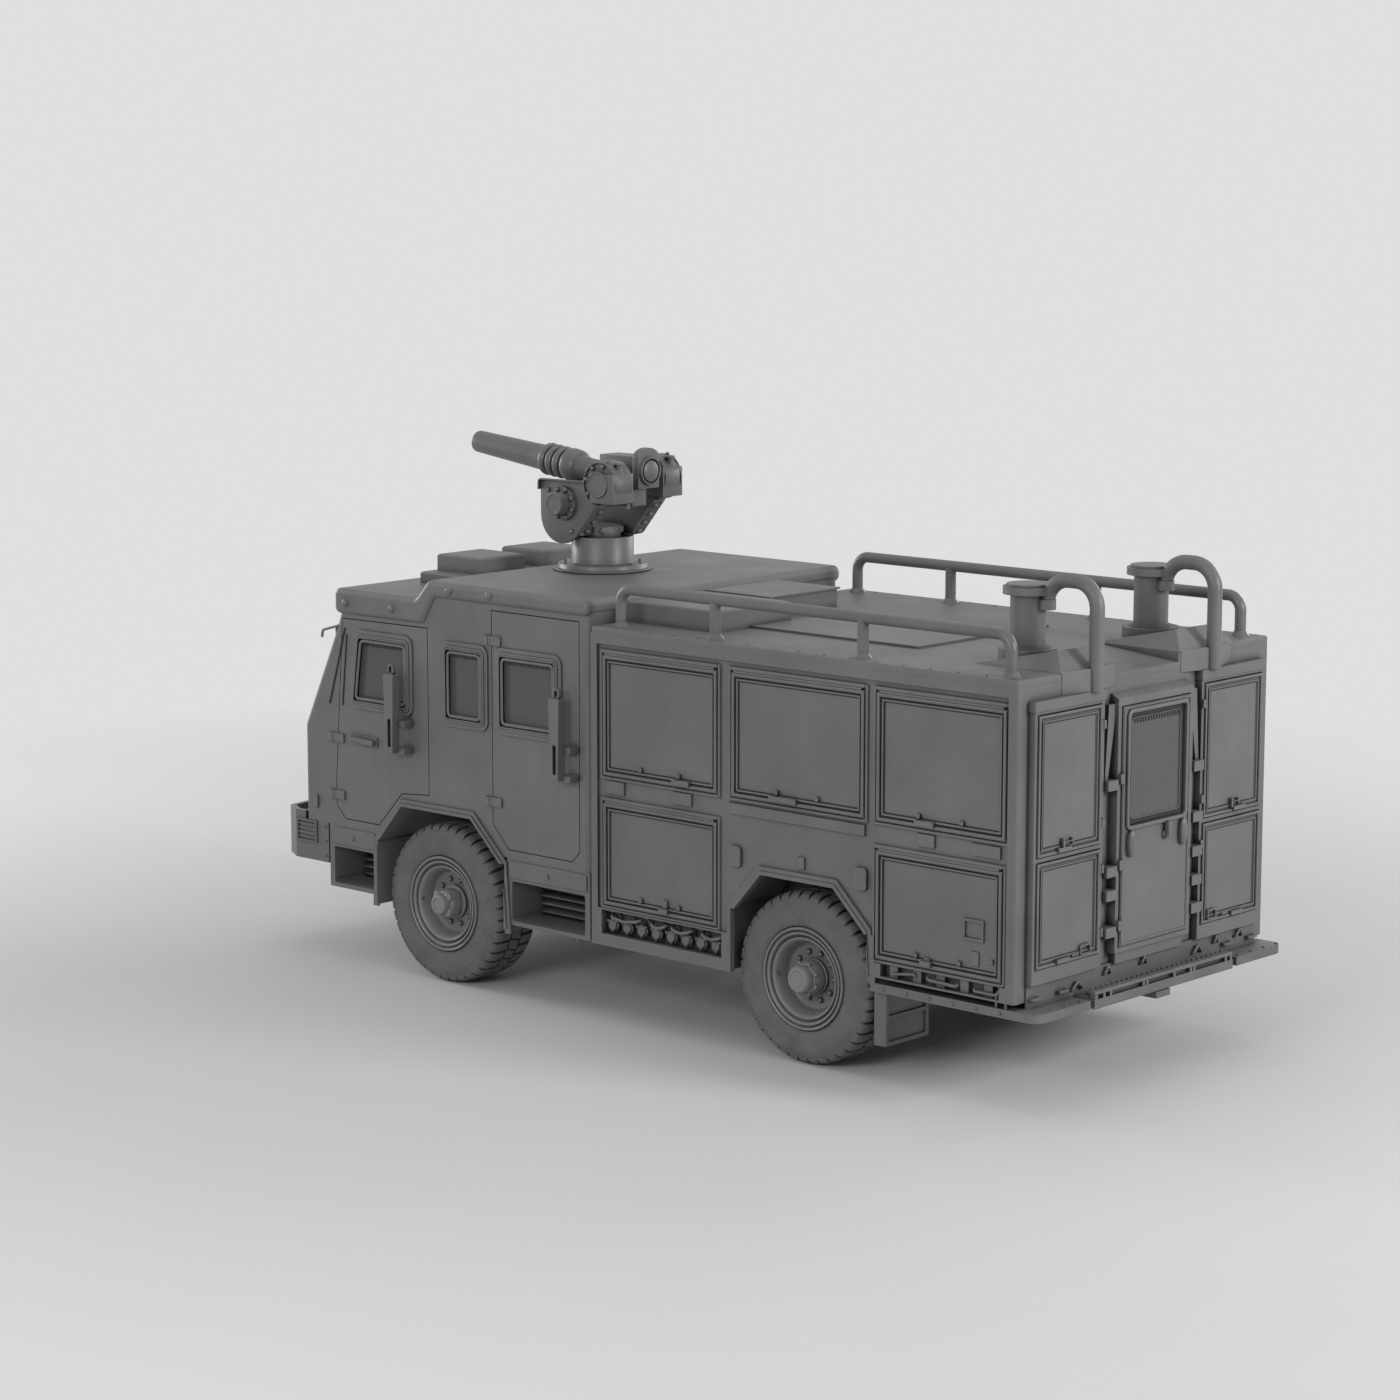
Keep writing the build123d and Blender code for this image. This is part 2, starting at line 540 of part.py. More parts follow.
for name, outline, window, hinge_u, grab_u, straps in DOORS:
    with BuildPart() as door:
        side_prism(outline, HALF_CAB - CAB_WALL, HALF_CAB)
        window_frame(window)
        for z in straps:
            block(hinge_u - 100, hinge_u - 45, HALF_CAB - 1, HALF_CAB + 12, z, z + STRAP_HEIGHT)
            block(hinge_u - 50, hinge_u - 4, HALF_CAB + PLAY, HALF_CAB + 12, z, z + STRAP_HEIGHT)
            post(hinge_u, HINGE_Y, z, z + STRAP_HEIGHT, 8)
        grab_bar(grab_u)
        if name == "front":
            side_patch(5362, 5632, 1502, 1572, 12, HALF_CAB - 1, HALF_CAB + 10)
            side_prism([(5375, 1518), (5612, 1530), (5608, 1560), (5375, 1550)], HALF_CAB + 9, HALF_CAB + 42)
    save_pair(door, f"{name}_door")
    with BuildPart() as pane:
        window_pane(window)
    save_pair(pane, f"{name}_door_glass")

# Seats, dash and wheel inside the cab
FLOOR_TOP = CAB_FLOOR + 35
# Seats as (u of the back, y of the middle, height of what they stand on)
SEATS = [(4700, 640, 1177), (4700, -640, 1177), (3500, 700, FLOOR_TOP), (3500, 0, FLOOR_TOP), (3500, -700, FLOOR_TOP)]
CUSHION_TOP = 1450
with BuildPart() as seats:
    for u, y, base in SEATS:
        block(u + 60, u + 400, y - 130, y + 130, base, CUSHION_TOP - 120)
        block(u + 20, u + 540, y - 240, y + 240, CUSHION_TOP - 120, CUSHION_TOP)
        back_outline = [(u, CUSHION_TOP - 50), (u + 130, CUSHION_TOP - 50), (u + 60, 2060), (u - 40, 2060)]
        side_prism(back_outline, y - 230, y + 230)
save(seats, "cab_seats")

STEER_PLACE = (5478, 600, 1591)
STEER_LEAN = -61
with BuildPart() as dash:
    side_prism([(5600, 1350), (CAB_NOSE - 45, 1350), (CAB_NOSE - 45, 1560), (5800, 1600), (5620, 1500)],
               -HALF_CAB + 100, HALF_CAB - 100)
    block(5700, CAB_NOSE - 45, -900, 900, FLOOR_TOP, 1350)
    rod((5640, 600, 1500), STEER_PLACE, 22)
    seat = Location((at(STEER_PLACE[0]), STEER_PLACE[1], STEER_PLACE[2]), (0, STEER_LEAN, 0))
    with BuildSketch(Plane(seat)) as ring:
        Circle(231)
        Circle(199, mode=Mode.SUBTRACT)
        Rectangle(410, 34)
    extrude(ring.sketch, amount=14, both=True)
save(dash, "dash_and_wheel")

# Front bumper, a trough open on top, with lamps and a tow lug under it
TOW_LUG_LOW = 600
TOW_LUG_THICK = 40
TOW_LUG_HALF = 70
TOW_BORE_R = 20
FRONT_TOW_U = BUMPER_FRONT - 90
REAR_TOW_U = PLATFORM_REAR + 70
REAR_LUG_LOW = 505
BUMPER_LOW = 655
BUMPER_TOP = 985
BUMPER_WALL = 35
BUMPER_ARM = 5868
LAMP_Y = (620, 860)
LAMP_Z = (730, 910)
LAMP_SET_BACK = 18
half_bumper = [(CAB_NOSE + PLAY, HALF_CAB), (BUMPER_FRONT - 180, HALF_CAB), (BUMPER_FRONT - 35, HALF_CAB - 80),
               (BUMPER_FRONT, HALF_CAB - 300)]
BUMPER_PLAN = half_bumper + [(u, -y) for u, y in reversed(half_bumper)]
with BuildPart() as bumper:
    plan_prism(BUMPER_PLAN, BUMPER_LOW, BUMPER_TOP)
    plan_prism(BUMPER_PLAN, BUMPER_LOW + BUMPER_WALL, BUMPER_TOP + 1, grow=-BUMPER_WALL, mode=Mode.SUBTRACT)
    for side in (1, -1):
        block(BUMPER_ARM, CAB_NOSE + 2, side * (HALF_CAB - 60), side * HALF_CAB, BUMPER_LOW, CAB_FLOOR)
        block(RAIL_FRONT, CAB_NOSE + BUMPER_WALL, side * RAIL_IN, side * RAIL_OUT, RAIL_BOTTOM, RAIL_TOP - 20)
        side_ring(5980, 6180, 776, 929, 12, side * (HALF_CAB - 1), side * (HALF_CAB + 12))
        for z in (807, 837, 867, 897):
            block(5990, 6170, side * (HALF_CAB - 1), side * (HALF_CAB + 8), z - 6, z + 6)
        block(BUMPER_FRONT - LAMP_SET_BACK, BUMPER_FRONT + 5, side * LAMP_Y[0], side * LAMP_Y[1],
              *LAMP_Z, Mode.SUBTRACT)
    block(RAIL_FRONT, BUMPER_FRONT - 40, -TOW_LUG_HALF, TOW_LUG_HALF, TOW_LUG_LOW, TOW_LUG_LOW + TOW_LUG_THICK)
    block(CAB_NOSE + 10, FRONT_TOW_U - 40, -TOW_LUG_HALF, TOW_LUG_HALF, TOW_LUG_LOW + TOW_LUG_THICK, BUMPER_LOW)
    post(FRONT_TOW_U, 0, TOW_LUG_LOW - 1, TOW_LUG_LOW + TOW_LUG_THICK + 1, TOW_BORE_R, Mode.SUBTRACT)
save(bumper, "front_bumper")

with BuildPart() as lamps:
    for side in (1, -1):
        block(BUMPER_FRONT - LAMP_SET_BACK, BUMPER_FRONT - 4, side * LAMP_Y[0], side * LAMP_Y[1], *LAMP_Z)
save(lamps, "head_lamps")

# Body sides: lockers as (name, u0, u1, z0, z1, u of both ends of the handle)
LOCKERS = [("upper_front", 2285, 3240, 1588, 2345, 2500, 2640), ("upper_middle", 1125, 2165, 1588, 2345, 1636, 1851),
           ("upper_rear", 80, 1030, 1588, 2345, 590, 730), ("lower_front", 2285, 3240, 765, 1412, 2680, 2755),
           ("lower_rear", 100, 1030, 765, 1412, 600, 680)]
DOOR_SHEET = 35
HINGE_BAR_R = 9
HINGE_LIFT = 6
FRONT_BOX_LOW = 500
REAR_BOX_LOW = 652
# Plates on the skin as (u0, u1, z0, z1, how far they stand out)
SKIN_PLATES = [(2494, 2648, 1481, 1556, 14), (3062, 3211, 1476, 1556, 14), (594, 719, 1481, 1554, 14),
               (115, 322, 1481, 1551, 14), (1116, 2190, 1483, 1548, 16), (1583, 1635, 1218, 1289, 14)]
REFLECTORS = [(2085, 2177, 1160, 1288), (1096, 1197, 1157, 1292)]
COUPLINGS = 8

with BuildPart() as body_side:
    block(0, BODY_FRONT, SIDE_IN, HALF_BODY, BODY_FLOOR, BODY_TOP - ROOF_SHEET)
    block(2160, BODY_FRONT, SIDE_IN, HALF_BODY, FRONT_BOX_LOW, BODY_FLOOR)
    block(0, 1085, SIDE_IN, HALF_BODY, REAR_BOX_LOW, BODY_FLOOR)
    outer_edges = body_side.edges().filter_by(Axis.Z).filter_by(lambda e: e.center().Y > HALF_BODY - 1)
    fillet(outer_edges.filter_by(lambda e: e.center().X < at(1)), radius=22)
    block(65, BODY_FRONT - 53, SKIN, HALF_BODY + 5, 740, 2413, Mode.SUBTRACT)
    side_prism(REAR_ARCH, SKIN - 12, HALF_BODY, grow=52)
    side_prism(REAR_ARCH, SKIN - 12, HALF_BODY + 8, grow=24)
    side_prism(REAR_ARCH, LOCKER_BACK, SKIN - 12, grow=45, mode=Mode.SUBTRACT)
    side_prism(REAR_ARCH, LOCKER_BACK, HALF_BODY + 20, mode=Mode.SUBTRACT)
    block(1085, 2160, SIDE_IN - 1, HALF_BODY + 20, 300, 900, Mode.SUBTRACT)
    block(1000, 2200, SIDE_IN - 1, SKIN - 12, 300, 900, Mode.SUBTRACT)
    block(900, 2300, SKIN - 20, HALF_BODY + 20, 300, FRONT_BOX_LOW, Mode.SUBTRACT)
    block(900, 1085, SKIN - 20, HALF_BODY + 20, FRONT_BOX_LOW - 1, REAR_BOX_LOW, Mode.SUBTRACT)
    block(1025, 1085, SKIN - 12, HALF_BODY, 617, 900)
    for name, u0, u1, z0, z1, handle0, handle1 in LOCKERS:
        block(u0 - GAP, u1 + GAP, LOCKER_BACK, HALF_BODY + 5, z0 - GAP, z1 + GAP, Mode.SUBTRACT)
        side_ring(u0 - 28, u1 + 28, z0 - 28, z1 + 38, 22, SKIN - 1, SKIN + 8)
        block(u0, u1, SKIN - 6, SKIN + 16, z1 + HINGE_LIFT + HINGE_BAR_R + PLAY, z1 + 36)
    for u0, u1, z0, z1, proud in SKIN_PLATES:
        block(u0, u1, SKIN - 1, SKIN + proud, z0, z1)
    for u0, u1, z0, z1 in REFLECTORS:
        side_patch(u0, u1, z0, z1, 22, SKIN - 1, SKIN + 22)
    block(2240, 3253, SKIN - 70, HALF_BODY + 5, 576, 730, Mode.SUBTRACT)
    for n in range(COUPLINGS):
        u = 2310 + n * 125
        rod((u, SKIN - 71, 640), (u, SKIN - 8, 640), 32)
        block(u - 44, u + 44, SKIN - 71, SKIN - 20, 712, 731)
    block(110, 985, SKIN - 40, HALF_BODY + 5, 664, 742, Mode.SUBTRACT)
    for n in range(5):
        u = 200 + n * 175
        block(u - 30, u + 30, SKIN - 41, SKIN - 4, 663, 743)
save_pair(body_side, "body_side")

# Body core: bays for the engine and the tank, open on top under the roof plate
CABINET_DEPTH = 400
BAY_HALF = SIDE_IN - 300
BAY_FRONT = 1090
CORE_TOP = BODY_TOP - ROOF_SHEET
with BuildPart() as body:
    block(CABINET_DEPTH, BODY_FRONT, -SIDE_IN, SIDE_IN, BODY_FLOOR, CORE_TOP)
    block(BAY_FRONT + 40, BODY_FRONT - 50, -SIDE_IN + 40, SIDE_IN - 40, BODY_FLOOR + 30, CORE_TOP + 1, Mode.SUBTRACT)
    block(CABINET_DEPTH - 1, BAY_FRONT, -BAY_HALF, BAY_HALF, BODY_FLOOR - 5, CORE_TOP + 1, Mode.SUBTRACT)
    for side in (1, -1):
        block(1050, 3200, side * RAIL_IN, side * RAIL_OUT, RAIL_TOP, BODY_FLOOR)
save(body, "body_shell")

# Frame round the rear door, with its hood, hinge leaves and the blocks beside it
REAR_DOOR_HALF = 345
REAR_DOOR = (843, 2275)
REAR_DOOR_FACE = -70
REAR_HINGES = (950, 1310, 1820)
# Heights of the blocks beside the rear door, left and right
CHANNEL_BLOCKS = [(1, (950, 1170, 1310, 1820)), (-1, (960, 1132, 1307, 1517, 1825))]
CABINET_IN = 487
CABINET_OUT = HALF_BODY - 103
CABINET_FACE = -44
CABINET_LOW = 750
CABINET_TOP = 2390
BAY_TOP = CORE_TOP - 60

with BuildPart() as rear_frame:
    block(0, 40, -CABINET_IN, CABINET_IN, BODY_FLOOR, BAY_TOP)
    block(REAR_DOOR_FACE + 8, 0, -REAR_DOOR_HALF - 30, REAR_DOOR_HALF + 30, REAR_DOOR[0] - 30, REAR_DOOR[1] + 30)
    block(-75, 45, -REAR_DOOR_HALF, REAR_DOOR_HALF, *REAR_DOOR, Mode.SUBTRACT)
    side_prism([(-62, 2305), (0, 2305), (0, 2350), (-62, 2318)], -375, 375)
    for side, heights in CHANNEL_BLOCKS:
        cross_prism([(side * 365, 2290), (side * 440, 2290), (side * 470, 1850), (side * 440, 1850)], -40, 0)
        for z in heights:
            block(-75, 0, side * 380, side * 480, z - 30, z + 30)
    for z in REAR_HINGES:
        block(-84, -62, REAR_DOOR_HALF + PLAY, REAR_DOOR_HALF + 22, z, z + 60)
save(rear_frame, "rear_frame")

# Rear cabinets beside the rear door, doors as (name, z0, z1)
CABINET_DOORS = [("upper", 1485, 2312), ("lower", 835, 1462)]
CABINET_RIM = 25
CABINET_HINGE_Y = CABINET_IN + 33
with BuildPart() as cabinet:
    block(0, CABINET_DEPTH, CABINET_IN, SIDE_IN, CABINET_LOW, BAY_TOP)
    block(CABINET_FACE, 0, CABINET_IN, CABINET_OUT, CABINET_LOW, CABINET_TOP)
    block(CABINET_FACE - 8, 0, CABINET_IN - 7, CABINET_OUT + 8, CABINET_TOP - 60, CABINET_TOP)
    for name, z0, z1 in CABINET_DOORS:
        block(CABINET_FACE - 5, 0, CABINET_IN + CABINET_RIM, CABINET_OUT - CABINET_RIM, z0, z1, Mode.SUBTRACT)
        block(-1, CABINET_DEPTH - 15, CABINET_IN + CABINET_RIM, SIDE_IN - 15, z0, z1, Mode.SUBTRACT)
        for z in (z0 + 100, z1 - 150):
            block(CABINET_FACE - 15, CABINET_FACE, CABINET_IN, CABINET_HINGE_Y - HINGE_BAR_R - PLAY, z, z + 50)
with BuildPart() as cabinets:
    add(cabinet.part)
    mirror(cabinet.part, about=Plane.XZ)
save(cabinets, "rear_cabinets")

# Locker doors, hinged along their tops
for name, u0, u1, z0, z1, handle0, handle1 in LOCKERS:
    with BuildPart() as locker:
        block(u0, u1, SKIN - DOOR_SHEET, SKIN, z0, z1)
        side_ring(u0, u1, z0, z1, 24, SKIN - 1, SKIN + 12)
        side_ring(u0 + 34, u1 - 34, z0 + 34, z1 - 34, 14, SKIN - 1, SKIN + 7)
        block(handle0, handle1, SKIN - 1, SKIN + 34, z0 + 14, z0 + 46)
        hinge_y = SKIN + HINGE_BAR_R + PLAY
        rod((u0 + 20, hinge_y, z1 + HINGE_LIFT), (u1 - 20, hinge_y, z1 + HINGE_LIFT), HINGE_BAR_R)
        if name == "lower_front":
            side_patch(2695, 2739, 812, 864, 10, SKIN - 1, SKIN + 16)
        if name == "lower_rear":
            side_ring(230, 381, 979, 1107, 16, SKIN - 1, SKIN + 12)
            block(265, 327, SKIN - 1, SKIN + 9, 837, 918)
            side_disc(167, 877, 14, SKIN - 1, SKIN + 18)
            side_patch(620, 662, 776, 828, 10, SKIN - 1, SKIN + 16)
    save_pair(locker, f"locker_{name}")

# Rear cabinet doors
for name, z0, z1 in CABINET_DOORS:
    low, high = CABINET_IN + CABINET_RIM + GAP, CABINET_OUT - CABINET_RIM - GAP
    with BuildPart() as hatch:
        block(CABINET_FACE, -PLAY, low, high, z0 + GAP, z1 - GAP)
        rear_ring(low, high, z0 + GAP, z1 - GAP, 20, CABINET_FACE - 6, CABINET_FACE + 1)
        rear_ring(low + 34, high - 34, z0 + 40, z1 - 40, 12, CABINET_FACE - 4, CABINET_FACE + 1)
        block(CABINET_FACE - 26, CABINET_FACE, high - 300, high - 180, z0 + 14, z0 + 40)
        for z in (z0 + 100, z1 - 150):
            post(CABINET_FACE - 6, CABINET_HINGE_Y, z, z + 50, HINGE_BAR_R)
    save_pair(hatch, f"cabinet_door_{name}")

# Rear door with its pane
REAR_PANE = (279, 1560, 2225)
with BuildPart() as rear_door:
    edge = REAR_DOOR_HALF - GAP
    pane_half, pane_low, pane_top = REAR_PANE
    block(REAR_DOOR_FACE, 0, -edge, edge, REAR_DOOR[0] + GAP, REAR_DOOR[1] - GAP)
    rear_patch(-pane_half - 26, pane_half + 26, pane_low - 26, pane_top + 26, 44,
               REAR_DOOR_FACE - 9, REAR_DOOR_FACE + 1)
    rear_patch(-pane_half, pane_half, pane_low, pane_top, 25, REAR_DOOR_FACE - 10, 6, Mode.SUBTRACT)
    for side in (1, -1):
        cup = side * 260
        rear_patch(cup - 29, cup + 29, 1380, 1532, 28, REAR_DOOR_FACE - 25, REAR_DOOR_FACE + 1)
        rear_patch(cup - 17, cup + 17, 1394, 1518, 16, REAR_DOOR_FACE - 26, REAR_DOOR_FACE - 8, Mode.SUBTRACT)
    for z in REAR_HINGES:
        post(-75, edge - 3, z, z + 60, HINGE_BAR_R)
    rod((REAR_DOOR_FACE - 30, -95, 1462), (REAR_DOOR_FACE + 1, -95, 1462), 20)
    block(REAR_DOOR_FACE - 30, REAR_DOOR_FACE - 14, -112, -78, 1440, 1536)
save(rear_door, "rear_door")

with BuildPart() as rear_glass:
    rear_patch(-pane_half, pane_half, pane_low, pane_top, 25, REAR_DOOR_FACE + 14, REAR_DOOR_FACE + 26)
save(rear_glass, "rear_door_glass")

# Rails along the roof
RAIL_R = 35
RAIL_Y = HALF_BODY - 110
RAIL_Z = BODY_TOP + 240
RAIL_BEND = 90
POSTS = [3180, 2390, 1225, 135]
with BuildPart() as rail:
    front, back = POSTS[0], POSTS[-1]
    with BuildLine() as path:
        Polyline((at(front), RAIL_Y, BODY_TOP), (at(front), RAIL_Y, RAIL_Z), (at(back), RAIL_Y, RAIL_Z),
                 (at(back), RAIL_Y, BODY_TOP))
        fillet(path.vertices().sort_by(Axis.Z)[2:], radius=RAIL_BEND)
    with BuildSketch(Plane(origin=(at(front), RAIL_Y, BODY_TOP), z_dir=(0, 0, 1))) as tube:
        Circle(RAIL_R)
    sweep(sections=tube.sketch, path=path.wire())
    for u in POSTS:
        with Locations((at(u), RAIL_Y, BODY_TOP + 15)):
            Cone(58, RAIL_R, 30)
    for u in POSTS[1:-1]:
        post(u, RAIL_Y, BODY_TOP, RAIL_Z, RAIL_R)
with BuildPart() as rails:
    add(rail.part)
    mirror(rail.part, about=Plane.XZ)
save(rails, "roof_rails")

# Roof plate of the body, then boxes, lids and the walkway plate on both roofs
# Boxes as (u0, u1, y0, y1, z0, z1, bevel of the top)
ROOF_BOXES = [(2560, 3330, 250, 930, BODY_TOP, 2645, 10), (2800, 3330, -480, 250, BODY_TOP, 2632, 0),
              (2785, 3335, -495, 190, 2632, 2644, 0), (1215, 2540, -640, 640, BODY_TOP, BODY_TOP + 15, 0),
              (5030, 5530, -640, 640, LOW_ROOF, LOW_ROOF + 75, 12), (5080, 5500, 100, 510, LOW_ROOF + 75, 2730, 12),
              (5080, 5500, -510, -100, LOW_ROOF + 75, 2730, 12)]
with BuildPart() as roof:
    block(0, BODY_FRONT, -HALF_BODY, HALF_BODY, CORE_TOP, BODY_TOP)
    fillet(roof.edges().filter_by(Axis.Z), radius=22)
    fillet(roof.faces().sort_by(Axis.Z)[-1].edges(), radius=12)
    block(0, CABINET_DEPTH, -SIDE_IN, SIDE_IN, BAY_TOP, CORE_TOP)
    block(CABINET_DEPTH, BAY_FRONT, -BAY_HALF, BAY_HALF, BAY_TOP, CORE_TOP)
    side_prism([(-1, CORE_TOP - 18), (620, BODY_TOP), (-1, BODY_TOP + 5)], -300, 300, mode=Mode.SUBTRACT)
    for u0, u1, y0, y1, z0, z1, bevel in ROOF_BOXES:
        block(u0, u1, y0, y1, z0, z1 - bevel)
        if bevel:
            with BuildSketch(Plane.XY.offset(z1 - bevel)) as base:
                with Locations((at((u0 + u1) / 2), (y0 + y1) / 2)):
                    Rectangle(u1 - u0, y1 - y0)
            extrude(base.sketch, amount=bevel, taper=45)
save(roof, "roof_plate_and_boxes")

# Stacks with their curved pipes, on sloping fairings
STACK_U = 425
STACK_Y = 610
STACK_R = 105
PIPE_R = 44
PIPE_U = CABINET_FACE - 8
PIPE_Y = 588
PIPE_TOP = 3012
PIPE_END = 305
FAIRING_TOP = BODY_TOP + 111
FAIRING_EDGE = BODY_TOP + 8
with BuildPart() as stack:
    side_prism([(620, BODY_TOP), (0, BODY_TOP), (0, FAIRING_EDGE), (100, FAIRING_TOP)], 300, 864)
    cross_prism([(300, BODY_TOP), (864, BODY_TOP), (760, FAIRING_TOP), (410, FAIRING_TOP)], -1, 621, Mode.INTERSECT)
    plan_prism([(0, 850), (-50, 640), (-50, 530), (0, 320)], CABINET_TOP, FAIRING_EDGE)
    post(STACK_U, STACK_Y, BODY_TOP, 2600, 172)
    post(STACK_U, STACK_Y, 2600, 2612, 128)
    post(STACK_U, STACK_Y, 2600, 2920, STACK_R)
    post(STACK_U, STACK_Y, 2915, 2960, 149)
    post(STACK_U, STACK_Y, 2960, 2975, 128)
    with BuildLine() as bend_path:
        Polyline((at(PIPE_U), PIPE_Y, CABINET_TOP), (at(PIPE_U), PIPE_Y, PIPE_TOP), (at(PIPE_END), PIPE_Y, PIPE_TOP),
                 (at(PIPE_END), PIPE_Y, 2850))
        fillet(bend_path.vertices().sort_by(Axis.Z)[2:], radius=150)
    with BuildSketch(Plane(origin=(at(PIPE_U), PIPE_Y, CABINET_TOP), z_dir=(0, 0, 1))) as pipe:
        Circle(PIPE_R)
    sweep(sections=pipe.sketch, path=bend_path.wire())
    post(PIPE_END, PIPE_Y, 2830, 2890, 52)
    post(PIPE_END, PIPE_Y, 2829, 2875, 40, Mode.SUBTRACT)
with BuildPart() as stacks:
    add(stack.part)
    mirror(stack.part, about=Plane.XZ)
save(stacks, "stacks_and_pipes")

# Rear platform: deck plates, slotted step, tow lug and the guards behind the rear wheels
DECK_LOW = 565
DECK_TOP = 617
STEP_HALF = 700
STEP_SLOTS = 5
GUARD_U = (995, 1085)
GUARD_Y = (780, 1180)
GUARD_LOW = 222
with BuildPart() as deck_side:
    plan_prism([(PLATFORM_REAR, HALF_BODY), (PLATFORM_REAR, 740), (60, 740), (60, 600), (1060, 600),
                (1060, HALF_BODY)], DECK_LOW, DECK_TOP)
    corner_edges = deck_side.edges().filter_by(Axis.Z).filter_by(lambda e: e.center().X < at(PLATFORM_REAR + 1))
    fillet(corner_edges.sort_by(Axis.Y)[-1:], radius=80)
    block(20, 60, 600, 820, DECK_LOW, DECK_TOP)
    block(*GUARD_U, *GUARD_Y, GUARD_LOW, DECK_LOW)
    for low, high in ((GUARD_LOW + 25, 380), (405, DECK_LOW - 25)):
        rear_patch(GUARD_Y[0] + 25, GUARD_Y[1] - 25, low, high, 12, GUARD_U[0] - 1, GUARD_U[0] + 14, Mode.SUBTRACT)
    block(60, 1060, 780, 860, DECK_TOP, REAR_BOX_LOW)
    block(200, 300, RAIL_IN, 620, DECK_LOW, RAIL_BOTTOM)
    block(40, 300, RAIL_IN, 460, DECK_LOW, RAIL_BOTTOM)
    for y in (830, 1090):
        block(-46, -11, y - 44, y + 44, 660, 676)
        block(-32, -12, y - 30, y + 30, 655, 681, Mode.SUBTRACT)
with BuildPart() as platform:
    add(deck_side.part)
    mirror(deck_side.part, about=Plane.XZ)
    block(PLATFORM_REAR, 60, -STEP_HALF, STEP_HALF, DECK_LOW - 5, DECK_TOP - 5)
    slot = (2 * STEP_HALF - 60) / STEP_SLOTS
    for n in range(STEP_SLOTS):
        middle = -STEP_HALF + 30 + (n + 0.5) * slot
        left_end, right_end = middle - slot / 2 + 40, middle + slot / 2 - 40
        block(PLATFORM_REAR + 40, -20, left_end, right_end, DECK_TOP - 25, DECK_TOP, Mode.SUBTRACT)
    block(-12, 0, -HALF_BODY + 100, HALF_BODY - 100, DECK_TOP - 6, 748)
    block(PLATFORM_REAR + 15, 300, -TOW_LUG_HALF, TOW_LUG_HALF, REAR_LUG_LOW, REAR_LUG_LOW + TOW_LUG_THICK)
    block(40, 300, -TOW_LUG_HALF, TOW_LUG_HALF, REAR_LUG_LOW, DECK_LOW)
    post(REAR_TOW_U, 0, REAR_LUG_LOW - 1, REAR_LUG_LOW + TOW_LUG_THICK + 1, TOW_BORE_R, Mode.SUBTRACT)
save(platform, "rear_platform")

# Monitor on the cab roof
MONITOR_U = 4440
MONITOR_TOP = 2880
PIVOT_U = 4300
PIVOT_Z = 3262
PLATE_IN = 190
PLATE_OUT = 220
with BuildPart() as monitor_base:
    post(MONITOR_U, 0, HIGH_ROOF, 2690, 285)
    post(MONITOR_U, 0, 2690, 2716, 262)
    post(MONITOR_U, 0, 2716, MONITOR_TOP, 183)
save(monitor_base, "monitor_base")

# Corner circles of the yoke's plate as (u, z, radius)
PLATE_CIRCLES = [(4587, 3038, 190), (4757, 3250, 20), (4215, 3250, 25), (4235, 3190, 25)]
with BuildPart() as yoke_side:
    with BuildSketch(side_plane(PLATE_IN)) as plate:
        for u, z, radius in PLATE_CIRCLES:
            with Locations((at(u), z)):
                Circle(radius)
        make_hull()
    extrude(plate.sketch, amount=-(PLATE_OUT - PLATE_IN))
    side_disc(4694, 3109, 95, PLATE_OUT - 1, PLATE_OUT + 22)
    side_disc(4694, 3109, 67, PLATE_OUT - 1, PLATE_OUT + 50)
    side_disc(PIVOT_U, PIVOT_Z, 110, PLATE_OUT - 1, PLATE_OUT + 22)
    side_disc(PIVOT_U, PIVOT_Z, 78, PLATE_OUT - 1, PLATE_OUT + 45)
    block(3980, 4215, PLATE_OUT + 2, 380, 3144, 3366)
    block(4140, 4260, PLATE_OUT - 1, PLATE_OUT + 60, 3180, 3340)
    block(4000, 4195, 242, 360, 3366, 3378)
    post(4098, 301, 3378, 3412, 26)
with BuildPart() as yoke:
    post(MONITOR_U, 0, MONITOR_TOP + PLAY, 2960, 120)
    block(4500, 4680, -PLATE_IN - 10, PLATE_IN + 10, 2900, 2990)
    add(yoke_side.part)
    mirror(yoke_side.part, about=Plane.XZ)
save(yoke, "monitor_yoke")

MUZZLE_U = 5643
MUZZLE_Z = 3465
BARREL_SLOPE = 0.116
BELLOWS = 4
BELLOWS_FROM = 4790
BELLOWS_PITCH = 66


def barrel_rod(u0, u1, radius, mode=Mode.ADD):
    """A round piece on the barrel's sloping centre line."""
    z0 = MUZZLE_Z - BARREL_SLOPE * (MUZZLE_U - u0)
    z1 = MUZZLE_Z - BARREL_SLOPE * (MUZZLE_U - u1)
    rod((u0, 0, z0), (u1, 0, z1), radius, mode)


with BuildPart() as barrel:
    rod((PIVOT_U, -PLATE_IN + PLAY, PIVOT_Z), (PIVOT_U, PLATE_IN - PLAY, PIVOT_Z), 60)
    side_prism([(3930, 3230), (4310, 3230), (4310, 3440), (3930, 3440)], -110, 110, corner=40)
    block(3985, 4150, -70, 70, 3114, 3240)
    rod((3900, 0, 3335), (3931, 0, 3335), 80)
    barrel_rod(4296, 4660, 75)
    barrel_rod(4647, 4778, 100)
    barrel_rod(4770, 5040, 78)
    for n in range(BELLOWS):
        start = BELLOWS_FROM + n * BELLOWS_PITCH
        barrel_rod(start, start + 24, 95)
    barrel_rod(5040, 5140, 70)
    barrel_rod(5100, MUZZLE_U, 62.5)
    barrel_rod(MUZZLE_U - 120, MUZZLE_U + 1, 48, Mode.SUBTRACT)
save(barrel, "monitor_barrel")

